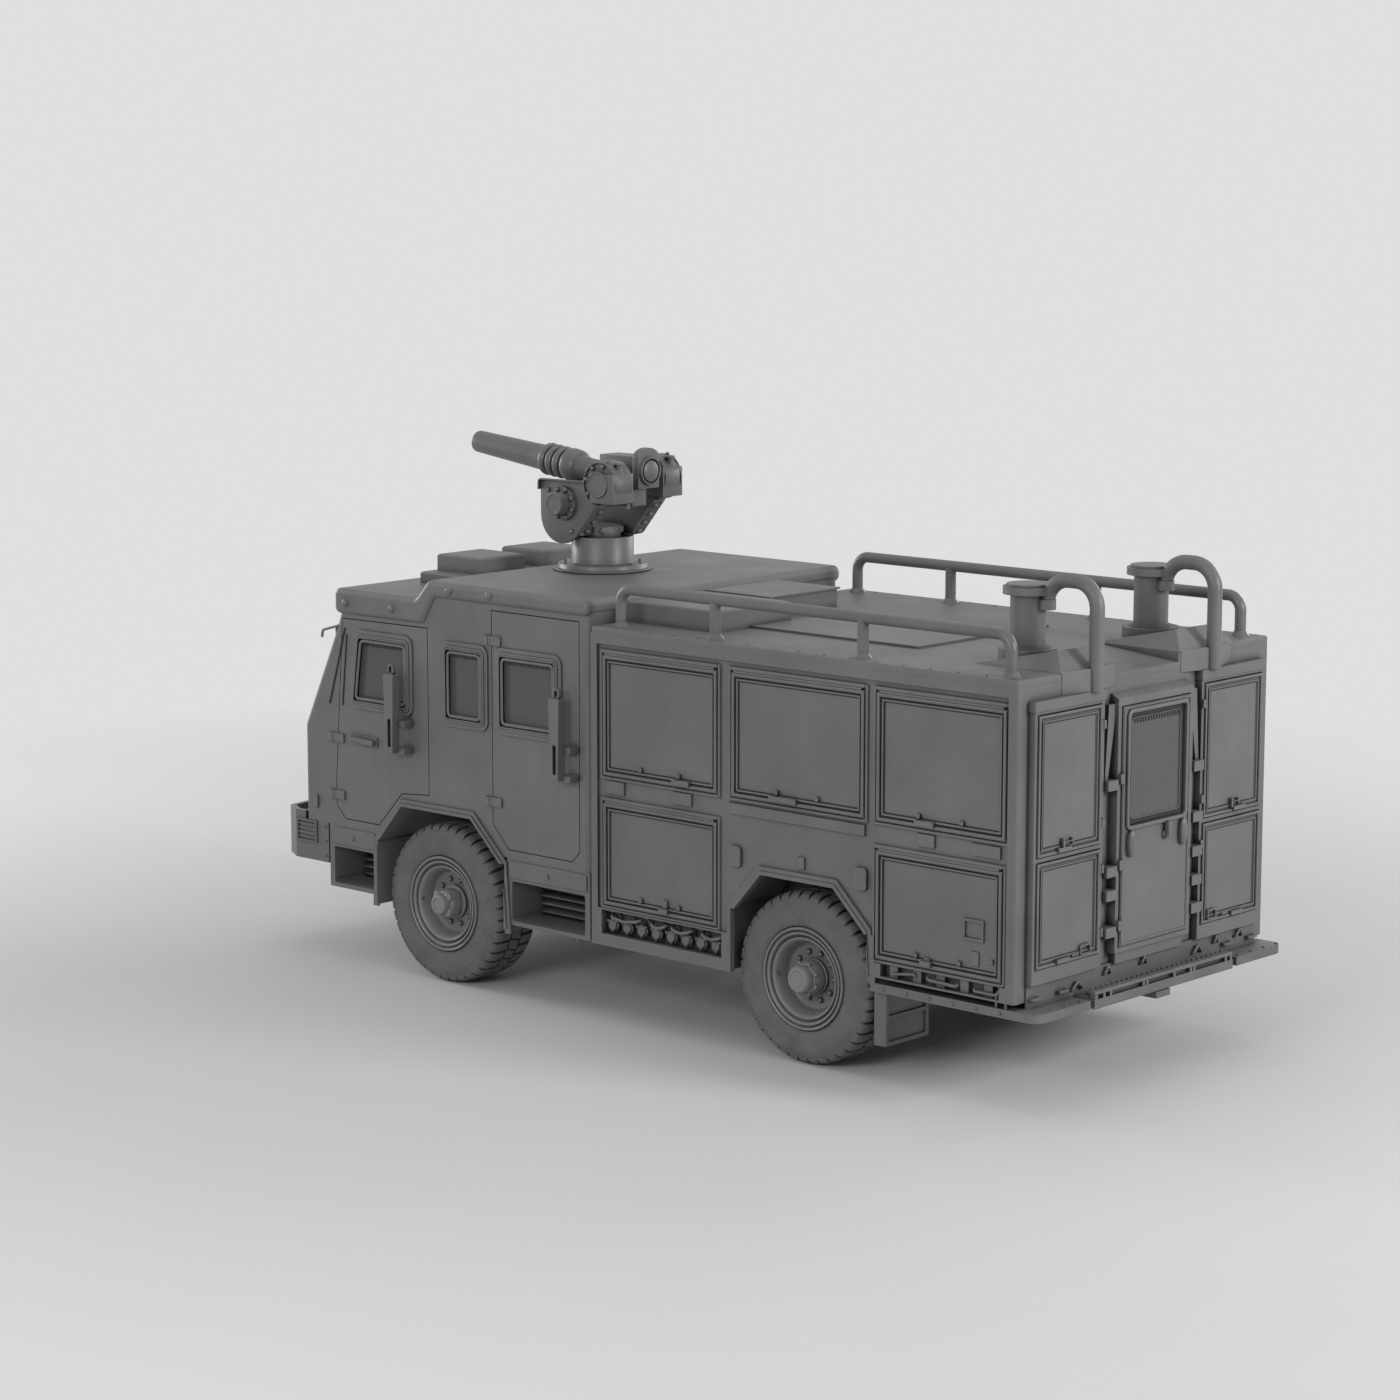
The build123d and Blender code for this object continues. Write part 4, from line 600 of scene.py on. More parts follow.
def bolt_heads_tree():
    """A washer and a hexagon head on every vertex, standing along its facing vector."""
    tree, given = geometry_tree("Bolt Heads", [("Radius", "NodeSocketFloat", 0.012),
                                               ("Height", "NodeSocketFloat", 0.008)])
    join = add_node(tree, "GeometryNodeJoinGeometry")
    for sides, share, lift in ((16, 1.0, 0.3), (6, 0.72, 1.0)):
        head = add_node(tree, "GeometryNodeMeshCylinder", {
            "Vertices": sides, "Radius": math_node(tree, "MULTIPLY", given["Radius"], share),
            "Depth": math_node(tree, "MULTIPLY", given["Height"], lift * 2)})
        tree.links.new(head.outputs["Mesh"], join.inputs[0])
    facing = add_node(tree, "GeometryNodeInputNamedAttribute", {"Name": "facing"}, data_type="FLOAT_VECTOR")
    turn = add_node(tree, "FunctionNodeAlignRotationToVector", {"Vector": facing.outputs["Attribute"]}, axis="Z")
    return end_tree(tree, given, given["Geometry"], join.outputs[0], turn.outputs[0])


def round_heads_tree():
    """A ball-topped screw on every vertex."""
    tree, given = geometry_tree("Round Heads", [("Radius", "NodeSocketFloat", 0.012)])
    ball = add_node(tree, "GeometryNodeMeshUVSphere", {"Segments": 14, "Rings": 8, "Radius": given["Radius"]})
    smooth = add_node(tree, "GeometryNodeSetShadeSmooth", {"Geometry": ball.outputs["Mesh"]})
    return end_tree(tree, given, given["Geometry"], smooth.outputs[0])


def ring_tree():
    """Copies of a piece turned about the Y axis."""
    tree, given = geometry_tree("Ring Of Copies", [("Count", "NodeSocketInt", 40), ("Phase", "NodeSocketFloat", 0.0)])
    points = add_node(tree, "GeometryNodePoints", {"Count": given["Count"]}).outputs[0]
    index = add_node(tree, "GeometryNodeInputIndex").outputs[0]
    step = math_node(tree, "DIVIDE", math.tau, given["Count"])
    angle = math_node(tree, "MULTIPLY", math_node(tree, "ADD", index, given["Phase"]), step)
    turn = add_node(tree, "ShaderNodeCombineXYZ", {"Y": angle}).outputs[0]
    rotation = add_node(tree, "FunctionNodeEulerToRotation", {0: turn}).outputs[0]
    return end_tree(tree, given, points, given["Geometry"], rotation)


def row_tree():
    """Copies of a piece in a straight row."""
    tree, given = geometry_tree("Row Of Copies", [("Count", "NodeSocketInt", 5),
                                                  ("Step", "NodeSocketVector", (0.1, 0, 0))])
    line = add_node(tree, "GeometryNodeMeshLine", mode="OFFSET")
    feed(tree, line, {"Count": given["Count"], "Offset": given["Step"]})
    return end_tree(tree, given, line.outputs[0], given["Geometry"])


BOLT_HEADS = bolt_heads_tree()
ROUND_HEADS = round_heads_tree()
RING = ring_tree()
ROW = row_tree()


def bolts(name, places, body, slot, radius, height):
    """Bolt heads at (place, facing) pairs."""
    mesh = bpy.data.meshes.new(name)
    mesh.from_pydata([place for place, facing in places], [], [])
    facing = mesh.attributes.new("facing", "FLOAT_VECTOR", "POINT")
    for item, (place, direction) in zip(facing.data, places):
        item.vector = direction
    grown = grow(name, mesh, BOLT_HEADS, radius=radius, height=height, material=FINISHES[slot])
    return add_piece(name, grown, body)


def round_heads(name, places, body, slot, radius):
    mesh = bpy.data.meshes.new(name)
    mesh.from_pydata([tuple(place) for place in places], [], [])
    return add_piece(name, grow(name, mesh, ROUND_HEADS, radius=radius, material=FINISHES[slot]), body)


def facing_row(start, end, count, direction):
    """Bolt places from one end, given with u first, to the other."""
    a, b = Vector((X(start[0]), *start[1:])), Vector((X(end[0]), *end[1:]))
    return [(a.lerp(b, n / (count - 1)), direction) for n in range(count)]


def both_sides(places):
    """Adds the mirror image of (place, facing) pairs."""
    return places + [(Vector((p[0], -p[1], p[2])), (f[0], -f[1], f[2])) for p, f in places]


def on_circle(centre, radius, count, phase=0.0):
    """Places round a circle in the plane of u and z."""
    angles = [math.tau * (n + phase) / count for n in range(count)]
    return [Vector(centre) + Vector((radius * math.cos(a), 0, radius * math.sin(a))) for a in angles]


# ---------------------------------------------------------------- tyres
LUGS = 40
LUG_TOP = TYRE_R - 0.0030
LUG_FOOT, LUG_RISE, LUG_TAPER = 0.478, 0.052, 0.12
CARCASS_R = 0.506
# Half section of the tyre as (distance in from the outer face, radius)
SIDEWALL = [(0.020, 0.3185), (0.007, 0.325), (0.010, 0.333), (0.004, 0.340), (0.0030, 0.352), (0.0006, 0.375),
            (0.0003, 0.410), (0.0012, 0.436), (0.0006, 0.439), (0.0014, 0.442), (0.0040, 0.465), (0.0085, 0.483),
            (0.016, 0.496), (0.036, CARCASS_R), (0.100, CARCASS_R), (0.185, CARCASS_R)]
SHOULDER_LUG = [(0.0075, 0.484), (0.0105, 0.497), (0.019, 0.511), (0.034, 0.521), (0.056, 0.5275),
                (0.076, LUG_TOP), (0.130, LUG_TOP), (0.138, 0.500), (0.040, 0.498), (0.018, 0.488)]
CENTRE_LUG = [(0.148, 0.500), (0.154, LUG_TOP), (0.222, LUG_TOP), (0.228, 0.500)]
# Lug rows as (outline, half width, skew, shift in lugs)
LUG_ROWS = [(SHOULDER_LUG, 0.0345, 0.10, 0.0), (CENTRE_LUG, 0.030, -0.22, 0.35)]


def lug_mesh(outline, half_width, skew, flip):
    """A tread block at the top of the wheel: its outline runs in from the face."""
    bm = bmesh.new()
    rings = []
    for side in (-1, 1):
        ring = []
        for depth, radius in outline:
            y = -depth if not flip else depth - TYRE_WIDTH
            taper = 1.0 - LUG_TAPER * (radius - LUG_FOOT) / LUG_RISE
            ring.append(bm.verts.new((side * half_width * taper + skew * (depth - 0.05), y, radius)))
        rings.append(ring)
        bm.faces.new(ring)
    quad_strips(bm, [rings])
    edges = [e for e in bm.edges if abs(e.verts[0].co.x - e.verts[1].co.x) < half_width]
    bmesh.ops.bevel(bm, geom=edges, offset=0.0025, segments=1, affect="EDGES")
    return finish_mesh("lug", bm, FINISHES["tyre"])


def carcass_mesh():
    section = SIDEWALL + [(TYRE_WIDTH - depth, radius) for depth, radius in reversed(SIDEWALL[:-1])]
    bm = bmesh.new()
    loop = [bm.verts.new((0, -depth, radius)) for depth, radius in section]
    edges = [bm.edges.new(pair) for pair in zip(loop, loop[1:] + loop[:1])]
    bmesh.ops.spin(bm, geom=loop + edges, axis=(0, 1, 0), cent=(0, 0, 0), angle=math.tau, steps=120, use_merge=True)
    return finish_mesh("carcass", bm, FINISHES["tyre"], smooth=True)


def tyre_mesh():
    bm = bmesh.new()
    bm.from_mesh(carcass_mesh())
    smooth_faces = len(bm.faces)
    for flip in (False, True):
        for outline, half_width, skew, shift in LUG_ROWS:
            lug = lug_mesh(outline, half_width, -skew if flip else skew, flip)
            phase = shift + (0.5 if flip else 0.0)
            bm.from_mesh(grow("lugs", lug, RING, count=LUGS, phase=phase, material=FINISHES["tyre"]))
    mesh = bpy.data.meshes.new("tyre")
    bm.to_mesh(mesh)
    bm.free()
    mesh.materials.clear()
    mesh.materials.append(FINISHES["tyre"])
    for face in mesh.polygons:
        face.material_index = 0
        face.use_smooth = face.index < smooth_faces
    return mesh


# ---------------------------------------------------------------- rims and hubs
RIM_DISC_DEPTH = 0.122
HUB_FOOT = RIM_DISC_DEPTH + 0.006
# Closed half section of the rim as (distance in from the outer face, radius)
RIM_PROFILE = [(0.022, 0.3178), (0.006, 0.3165), (-0.001, 0.312), (-0.002, 0.306), (0.002, 0.300), (0.013, 0.297),
               (0.017, 0.291), (0.010, 0.286), (0.004, 0.283), (0.003, 0.278), (0.006, 0.272), (0.014, 0.268),
               (0.026, 0.265), (0.030, 0.259), (0.022, 0.254), (0.016, 0.249), (0.016, 0.243), (0.022, 0.236),
               (0.034, 0.229), (0.060, 0.221), (0.086, 0.214), (0.106, 0.208), (0.116, 0.202),
               (RIM_DISC_DEPTH, 0.190), (RIM_DISC_DEPTH, 0.080), (0.134, 0.080), (0.134, 0.214), (0.160, 0.250),
               (0.340, 0.290), (0.362, 0.300), (0.362, 0.3178)]
HUB_START = [(0.070, 0), (0.070, 0.046), (HUB_FOOT, 0.046), (HUB_FOOT, 0.112), (0.100, 0.112)]
HUB_PROFILES = {
    "rear": HUB_START + [(0.094, 0.106), (0.040, 0.104), (0.024, 0.100), (0.006, 0.094), (0.004, 0.088),
                         (-0.020, 0.086), (-0.034, 0.082), (-0.044, 0.076), (-0.050, 0.069), (-0.050, 0.058),
                         (-0.045, 0.053), (-0.046, 0.030), (-0.047, 0)],
    "front": HUB_START + [(0.094, 0.090), (0.020, 0.088), (0.008, 0.082), (0.002, 0.070), (-0.034, 0.068),
                          (-0.046, 0.062), (-0.050, 0.052), (-0.050, 0.044), (-0.045, 0.040), (-0.046, 0.020),
                          (-0.047, 0)]}
PLANET_PROFILE = [(0.105, 0), (0.105, 0.034), (-0.004, 0.034), (-0.012, 0.030), (-0.016, 0.022), (-0.016, 0)]
# Screws on a hub as (ring radius, count, distance out from the rim's face)
HUB_SCREWS = {"rear": (0.096, 8, -0.016), "front": (0.090, 4, -0.002)}
STUD_RING_R, STUDS = 0.150, 10

tyre = tyre_mesh()
for axle_name, axle_u in AXLES:
    for side_name, side in SIDES:
        label = f"{axle_name}_{side_name}"
        wheel_body = f"wheel_{label}_body"
        hub_middle = Vector((X(axle_u), side * WHEEL_FACE_Y, TYRE_R))
        turn = Matrix.Identity(4) if side > 0 else Matrix.Rotation(math.pi, 4, "Z")
        fitted = tyre.copy()
        fitted.transform(Matrix.Translation(hub_middle) @ turn)
        add_piece(f"tyre_with_lugs_{label}", fitted, wheel_body, f"tyre_{label}")
        bm = bmesh.new()
        lathe(bm, RIM_PROFILE, hub_middle, (0, 1, 0), 96, -side)
        lathe(bm, HUB_PROFILES[axle_name], hub_middle, (0, 1, 0), 48, -side)
        if axle_name == "front":
            for planet_middle in on_circle(hub_middle, 0.066, 4, 0.5):
                lathe(bm, PLANET_PROFILE, planet_middle, (0, 1, 0), 20, -side)
        add_rod(bm, hub_middle + Vector((0.224, -side * 0.040, 0)), hub_middle + Vector((0.216, -side * 0.006, 0)),
                0.005, 10)
        smooth_piece(f"rim_and_hub_{label}", bm, wheel_body, "wheel_paint", f"wheel_{label}")
        studs = on_circle(hub_middle - Vector((0, side * (RIM_DISC_DEPTH - 0.006), 0)), STUD_RING_R, STUDS)
        round_heads(f"wheel_studs_{label}", studs, wheel_body, "wheel_paint", 0.017)
        ring_radius, count, out = HUB_SCREWS[axle_name]
        cap_screws = on_circle(hub_middle + Vector((0, side * out, 0)), ring_radius, count, 0.5)
        round_heads(f"hub_screws_{label}", cap_screws, wheel_body, "wheel_paint", 0.016)

# ---------------------------------------------------------------- seats
# Seats as (u, y, height of the floor under them)
SEATS = [(4.700, 0.640, 1.177), (4.700, -0.640, 1.177), (3.500, 0.700, 0.965), (3.500, 0.0, 0.965),
         (3.500, -0.700, 0.965)]
BACK_LEAN = math.radians(-96)
CHANNEL_DEPTH, CHANNEL_WIDTH = 0.006, 0.07


def pad_mesh(size, crown, place, lean):
    """A crowned pad whose sides pull in between its corners, with two sewn channels."""
    bm = bmesh.new()
    bmesh.ops.create_cube(bm, size=1.0)
    bmesh.ops.subdivide_edges(bm, edges=bm.edges, cuts=9, use_grid_fill=True)
    half = Vector(size) / 2
    for vert in bm.verts:
        x, y, z = vert.co * 2
        edge = (1 - x ** 6) * (1 - y ** 6)
        round_off = 1 - 0.10 * (abs(x) ** 8 + abs(y) ** 8) / 2
        channel = CHANNEL_DEPTH * sum(math.exp(-((y - line) / CHANNEL_WIDTH) ** 2) for line in (-0.42, 0.42))
        pull = 1 - 0.03 * (1 - abs(x * y)) * (abs(x) ** 4 + abs(y) ** 4) / 2
        waist = pull * (1 - 0.04 * z * z)
        vert.co = Vector((x * half.x * waist, y * half.y * waist, z * half.z * round_off * (0.74 + 0.26 * edge)))
        if z > 0:
            vert.co.z += crown * (1 - x * x) * (1 - y * y) - channel * edge
    bm.transform(Matrix.Translation(place) @ Matrix.Rotation(lean, 4, "Y"))
    return finish_mesh("pad", bm, FINISHES["seat"], smooth=True)


def piping_mesh(size, place, lean):
    """The cord of piping round the top edge of a pad, laid as a bar."""
    half_x, half_y, z = size[0] / 2 * 0.985, size[1] / 2 * 0.985, size[2] * 0.30
    corners = [(0, -half_y, z), (half_x, -half_y, z), (half_x, half_y, z), (-half_x, half_y, z),
               (-half_x, -half_y, z), (-0.01, -half_y, z)]
    turn = Matrix.Translation(place) @ Matrix.Rotation(lean, 4, "Y")
    mesh = pipe_mesh([turn @ Vector(c) for c in corners], 0.004, 0.04, 2)
    mesh.materials.append(dark_rubber_and_shade)
    return mesh


for number, (seat_u, seat_y, foot) in enumerate(SEATS):
    cushion_place = Vector((X(seat_u + 0.285), seat_y, 1.385))
    back_place = Vector((X(seat_u + 0.035), seat_y, 1.735))
    for label, size, crown, place, lean in (("cushion", (0.50, 0.47, 0.13), 0.022, cushion_place, 0.0),
                                            ("backrest", (0.62, 0.45, 0.11), 0.018, back_place, BACK_LEAN)):
        pad = add_piece(f"seat_{label}_{number}", pad_mesh(size, crown, place, lean), "truck", "cab_seats")
        add_piece(f"seat_{label}_piping_{number}", piping_mesh(size, place, lean), "truck")
    bm = bmesh.new()
    add_box(bm, (seat_u + 0.06, seat_u + 0.40), (seat_y - 0.13, seat_y + 0.13), (foot, 1.300), 0.012)
    add_box(bm, (seat_u + 0.03, seat_u + 0.53), (seat_y - 0.22, seat_y + 0.22), (1.298, 1.326), 0.006)
    flat_piece(f"seat_stand_{number}", bm, "truck", "dash", "cab_seats")

# ---------------------------------------------------------------- bolts and screws
UP, LEFT = (0, 0, 1), (0, 1, 0)
platform_bolts = facing_row((-0.135, 1.215, 0.617), (-0.135, 0.80, 0.617), 4, UP) + facing_row(
    (0.10, 1.2499, 0.591), (0.96, 1.2499, 0.591), 6, LEFT)
bolts("platform_bolts", both_sides(platform_bolts), "truck", "step_metal", 0.014, 0.008)
roof_screws = facing_row((0.06, 1.205, 2.515), (3.28, 1.205, 2.515), 17, UP)
bolts("roof_screws", both_sides(roof_screws), "truck", "body_paint", 0.009, 0.004)

# ---------------------------------------------------------------- roof monitor
SLEW_U = 4.440
MONITOR_FOOT_Z = 2.6705
PLATE_IN, PLATE_OUT = 0.215, 0.243
# Places on the monitor as (u, z)
PIVOT, BOSS, DRIVE, SIGHT_DISC = (4.300, 3.262), (4.551, 3.120), (4.105, 3.280), (4.015, 3.350)
NOSE = [(4.587, 3.038, 0.190), (4.757, 3.250, 0.020)]
# By side: circles that the plate's outline runs round, ends of its sloping edge, and how far its drive stands ahead
YOKE = {1: (NOSE + [(4.215, 3.250, 0.025), (4.235, 3.190, 0.025)], (4.2162, 3.1736), (4.4439, 2.9130), 0.0),
        -1: (NOSE + [(4.140, 3.250, 0.025), (4.120, 3.155, 0.030), (4.330, 2.955, 0.060)],
             (4.0996, 3.1330), (4.2890, 2.9060), 0.110)}
LIP = [(4.782, 3.200), (4.782, 3.252), (4.775, 3.266), (4.760, 3.274), (4.330, 3.278), (4.330, 3.268),
       (4.757, 3.264), (4.767, 3.259), (4.771, 3.250), (4.771, 3.200)]
DRIVE_COVER = [(3.972, 3.345), (3.972, 3.354), (4.050, 3.420), (4.085, 3.432), (4.125, 3.432), (4.200, 3.400),
               (4.200, 3.345)]
# Round forms as (along the axis, radius)
DRUM_PROFILE = [(0, 0), (0, 0.327), (0.004, 0.330), (0.010, 0.330), (0.015, 0.325), (0.016, 0.302), (0.022, 0.298),
                (0.038, 0.298), (0.045, 0.294), (0.046, 0.286), (0.047, 0.220), (0.052, 0.210), (0.060, 0.208),
                (0.222, 0.208), (0.226, 0.205), (0.226, 0.196), (0.222, 0.193), (0.206, 0.192), (0.206, 0)]
TURNTABLE_PROFILE = [(0.2105, 0), (0.2105, 0.118), (0.216, 0.122), (0.246, 0.122), (0.252, 0.115), (0.290, 0.115),
                     (0.290, 0)]
HOUSING_PROFILE = [(0.216, 0), (0.216, 0.150), (0.350, 0.150), (0.360, 0.146), (0.365, 0.138), (0.365, 0.092),
                   (0.370, 0.087), (0.396, 0.086), (0.402, 0.083), (0.402, 0.077), (0.397, 0.074), (0.397, 0)]
HOUSING_RIM = [(0.365, 0.150), (0.365, 0.139), (0.376, 0.141), (0.376, 0.148)]
BOSS_PROFILE = [(0.236, 0), (0.236, 0.112), (0.262, 0.112), (0.268, 0.108), (0.270, 0.082), (0.276, 0.078),
                (0.340, 0.076), (0.350, 0.073), (0.354, 0.069), (0.354, 0.063), (0.350, 0.060), (0.350, 0)]
DISC_PROFILE = [(0.020, 0), (0.020, 0.094), (-0.018, 0.094), (-0.024, 0.091), (-0.024, 0.084), (-0.018, 0.080),
                (-0.004, 0.078), (-0.004, 0.072), (-0.020, 0.070), (-0.024, 0.064), (-0.025, 0)]
# Caps and plugs of a drive as (u, y, bottom, top, radius)
DRIVE_CAPS = [(3.996, 0.300, 3.345, 3.416, 0.023), (3.996, 0.300, 3.412, 3.426, 0.034),
              (4.000, 0.222, 3.118, 3.160, 0.015), (4.055, 0.340, 3.400, 3.442, 0.012)]


def on_axle(point):
    """The place on the truck's middle plane for a (u, z) point."""
    return Vector((X(point[0]), 0, point[1]))


def drive_box(bm, side, ahead):
    """The geared drive on the outside of a yoke plate: square box, round housing, cap and sloping cover."""
    first_new = len(bm.verts)
    add_box(bm, (3.965, 4.180), (side * 0.200, side * 0.390), (3.157, 3.353), 0.008)
    add_prism(bm, DRIVE_COVER, (side * 0.224, side * 0.364), bevel=0.004)
    lathe(bm, HOUSING_PROFILE, on_axle(DRIVE), (0, 1, 0), 56, side)
    lathe(bm, HOUSING_RIM, on_axle(DRIVE), (0, 1, 0), 56, side)
    for u, y, low, high, radius in DRIVE_CAPS:
        lathe(bm, [(low, 0), (low, radius), (high - 0.004, radius), (high, radius - 0.004), (high, 0)],
              (X(u), side * y, 0), (0, 0, 1), 24)
    bm.verts.ensure_lookup_table()
    for vert in bm.verts[first_new:]:
        vert.co.x += ahead


def yoke_plate(bm, side, circles, edge_start, edge_end):
    """A yoke plate with its folded lip, boss, and the flange along its sloping edge."""
    a, b = Vector(edge_start), Vector(edge_end)
    away = Vector(((b - a).y, -(b - a).x)).normalized() * 0.010
    add_prism(bm, [a, b, b - away, a - away], (side * (PLATE_IN - 0.078), side * (PLATE_IN + 0.004)), bevel=0.002)
    add_prism(bm, hull_outline(circles), (side * PLATE_IN, side * PLATE_OUT), bevel=0.004)
    add_prism(bm, LIP, (side * (PLATE_OUT - 0.004), side * (PLATE_OUT + 0.026)), bevel=0.0025)
    lathe(bm, BOSS_PROFILE, on_axle(BOSS), (0, 1, 0), 48, side)


bm = bmesh.new()
lathe(bm, DRUM_PROFILE, (X(SLEW_U), 0, MONITOR_FOOT_Z), (0, 0, 1), 96)
smooth_piece("monitor_flange_and_drum", bm, "truck", "trim_paint", "monitor_base")
flange_angles = [math.tau * n / 12 for n in range(12)]
bolts("monitor_base_bolts", [((X(SLEW_U) + 0.258 * math.cos(a), 0.258 * math.sin(a), 2.717), UP)
                             for a in flange_angles], "truck", "trim_paint", 0.011, 0.010)

bm = bmesh.new()
lathe(bm, TURNTABLE_PROFILE, (X(SLEW_U), 0, MONITOR_FOOT_Z), (0, 0, 1), 64)
add_box(bm, (4.430, 4.690), (-PLATE_IN - 0.002, PLATE_IN + 0.002), (2.905, 2.955), 0.010)
add_box(bm, (4.340, 4.440), (-0.100, 0.100), (2.915, 2.958), 0.008)
yoke_screws = []
for side, (circles, edge_start, edge_end, ahead) in YOKE.items():
    yoke_plate(bm, side, circles, edge_start, edge_end)
    drive_box(bm, side, ahead)
    yoke_screws += on_circle(on_axle(BOSS) + Vector((0, side * 0.270, 0)), 0.097, 8, 0.5)
    yoke_screws += on_circle(on_axle(DRIVE) + Vector((ahead, side * 0.368, 0)), 0.122, 8, 0.3)
    for share in (0.12, 0.38, 0.64, 0.9):
        spot = Vector(edge_start).lerp(Vector(edge_end), share)
        yoke_screws.append((X(spot.x - 0.004), side * (PLATE_IN - 0.046), spot.y - 0.003))
    yoke_screws += [(X(4.486), side * PLATE_OUT, 2.934), (X(4.700), side * PLATE_OUT, 3.200)]
smooth_piece("monitor_yoke_plates_and_drives", bm, "monitor_yoke_body", "trim_paint", "monitor_yoke")
round_heads("monitor_yoke_screws", yoke_screws, "monitor_yoke_body", "trim_paint", 0.0175)

MUZZLE = (5.612, 3.4525)
BARREL_SLOPE = 0.116
STRETCH = math.hypot(1.0, BARREL_SLOPE)
BARREL_FOOT_R = 0.088
BELLOW = [(-0.028, BARREL_FOOT_R), (-0.025, 0.099), (-0.014, 0.107), (0.0, 0.110), (0.014, 0.107), (0.025, 0.099),
          (0.028, BARREL_FOOT_R)]
# The barrel from its foot to the bore as (u, radius)
barrel_line = [(4.320, 0.0), (4.320, 0.073), (4.560, 0.073), (4.590, 0.077), (4.622, 0.080), (4.632, 0.094),
               (4.640, 0.102), (4.660, 0.107), (4.700, 0.111), (4.722, 0.111), (4.740, 0.106), (4.752, 0.097),
               (4.756, BARREL_FOOT_R)]
barrel_line += [(middle_u + offset, radius) for middle_u in (4.792, 4.858, 4.923) for offset, radius in BELLOW]
barrel_line += [(4.962, BARREL_FOOT_R), (4.980, 0.0865), (5.100, 0.0835), (5.560, 0.0748), (5.605, 0.0738),
                (MUZZLE[0], 0.0718), (MUZZLE[0], 0.063), (5.605, 0.061), (5.460, 0.059), (5.460, 0.0)]
ARCH_HALF, ARCH_FOOT_Z, ARCH_SPRING_Z, ARCH_RISE = 0.100, 3.235, 3.440, 0.062
arch_angles = [math.pi * n / 16 for n in range(1, 16)]
arch = [(-ARCH_HALF, ARCH_FOOT_Z), (ARCH_HALF, ARCH_FOOT_Z), (ARCH_HALF, ARCH_SPRING_Z)]
arch += [(ARCH_HALF * math.cos(a), ARCH_SPRING_Z + ARCH_RISE * math.sin(a)) for a in arch_angles]
arch += [(-ARCH_HALF, ARCH_SPRING_Z)]
bm = bmesh.new()
lathe(bm, [((u - MUZZLE[0]) * STRETCH, r) for u, r in barrel_line], on_axle(MUZZLE), (1, 0, BARREL_SLOPE), 64)
lathe(bm, [(-0.211, 0), (-0.211, 0.056), (0.211, 0.056), (0.211, 0)], on_axle(PIVOT), (0, 1, 0), 40)
add_prism(bm, arch, (4.015, 4.070), axis="X", bevel=0.005)
add_box(bm, (4.066, 4.380), (-0.090, 0.090), (3.242, 3.446), 0.008)
add_box(bm, (4.100, 4.240), (-0.065, 0.065), (3.113, 3.246), 0.006)
lathe(bm, DISC_PROFILE, on_axle(SIGHT_DISC), (1, 0, 0), 48)
smooth_piece("monitor_barrel_and_bellows", bm, "monitor_barrel_body", "trim_paint", "monitor_barrel")

bumper_bolts = facing_row((5.90, 1.200, 0.700), (5.90, 1.200, 0.900), 3, LEFT)
bolts("bumper_bolts", both_sides(bumper_bolts), "truck", "trim_paint", 0.012, 0.008)

# ---------------------------------------------------------------- window marks and wipers
MARK_WIDTH, MARK_HEIGHT, MARK_HALF_DEPTH = 0.011, 0.030, 0.002


def mark_row(name, body, start, step, count, plane="Y"):
    """Slanted dark marks along the top of a pane."""
    bm = bmesh.new()
    a, level, z = start
    slanted = [(a, z - MARK_HEIGHT), (a + MARK_WIDTH, z - MARK_HEIGHT), (a + 2 * MARK_WIDTH, z), (a + MARK_WIDTH, z)]
    add_prism(bm, slanted, (level - MARK_HALF_DEPTH, level + MARK_HALF_DEPTH), axis=plane)
    row = grow(name, finish_mesh(name, bm, dark_rubber_and_shade), ROW, count=count, step=step, material=dark_rubber_and_shade)
    add_piece(name, row, body)


for side_name, side in SIDES:
    for name, body, u, z, count in (("front_door", f"front_door_{side_name}_body", 5.092, 2.204, 16),
                                    ("crew_door", f"crew_door_{side_name}_body", 3.718, 2.214, 17),
                                    ("mid_pane", "truck", 4.384, 2.211, 11)):
        mark_row(f"{name}_marks_{side_name}", body, (u, side * 1.1815, z), (0.0255, 0, 0), count)
mark_row("rear_door_marks", "rear_door_body", (-0.240, -0.0575, 2.188), (0, 0.0273, 0), 17, plane="X")

SCREEN_LOW, SCREEN_HIGH = Vector((6.100, 0, 1.588)), Vector((5.765, 0, 2.290))
SCREEN_UP = (SCREEN_HIGH - SCREEN_LOW).normalized()
SCREEN_OUT = Vector((SCREEN_UP.z, 0, -SCREEN_UP.x))


def on_screen(y, up, out):
    return SCREEN_LOW + Vector((0, y, 0)) + SCREEN_UP * up + SCREEN_OUT * out


for number, pivot_y in enumerate((0.62, -0.30)):
    arm = [on_screen(pivot_y, 0.03, 0.012), on_screen(pivot_y, 0.05, 0.034), on_screen(pivot_y - 0.22, 0.33, 0.016)]
    blade = [on_screen(pivot_y - 0.36, 0.16, 0.004), on_screen(pivot_y - 0.22, 0.33, 0.006),
             on_screen(pivot_y - 0.08, 0.50, 0.004)]
    pipes_piece(f"wiper_{number}", [(arm, 0.006, 0.01), (blade, 0.007, 0.02)], "truck", "dash", dark_rubber_and_shade)

# ---------------------------------------------------------------- catches, couplings and bars on the sides
for name, u0, u1, z0, z1 in LOCKERS:
    for side_name, side in SIDES:
        bm = bmesh.new()
        for offset in (-0.16, 0.16):
            middle = (u0 + u1) / 2 + offset
            add_box(bm, (middle - 0.014, middle + 0.014), (side * (SKIN_Y + 0.0005), side * (SKIN_Y + 0.018)),
                    (z0 + 0.052, z0 + 0.080), 0.003)
        flat_piece(f"catches_{name}_{side_name}", bm, f"locker_{name}_{side_name}_body", "trim_paint")

COUPLING_U, COUPLING_Z, CAP_Z = 2.310, 0.640, 0.632
COUPLINGS, COUPLING_STEP = 8, 0.125
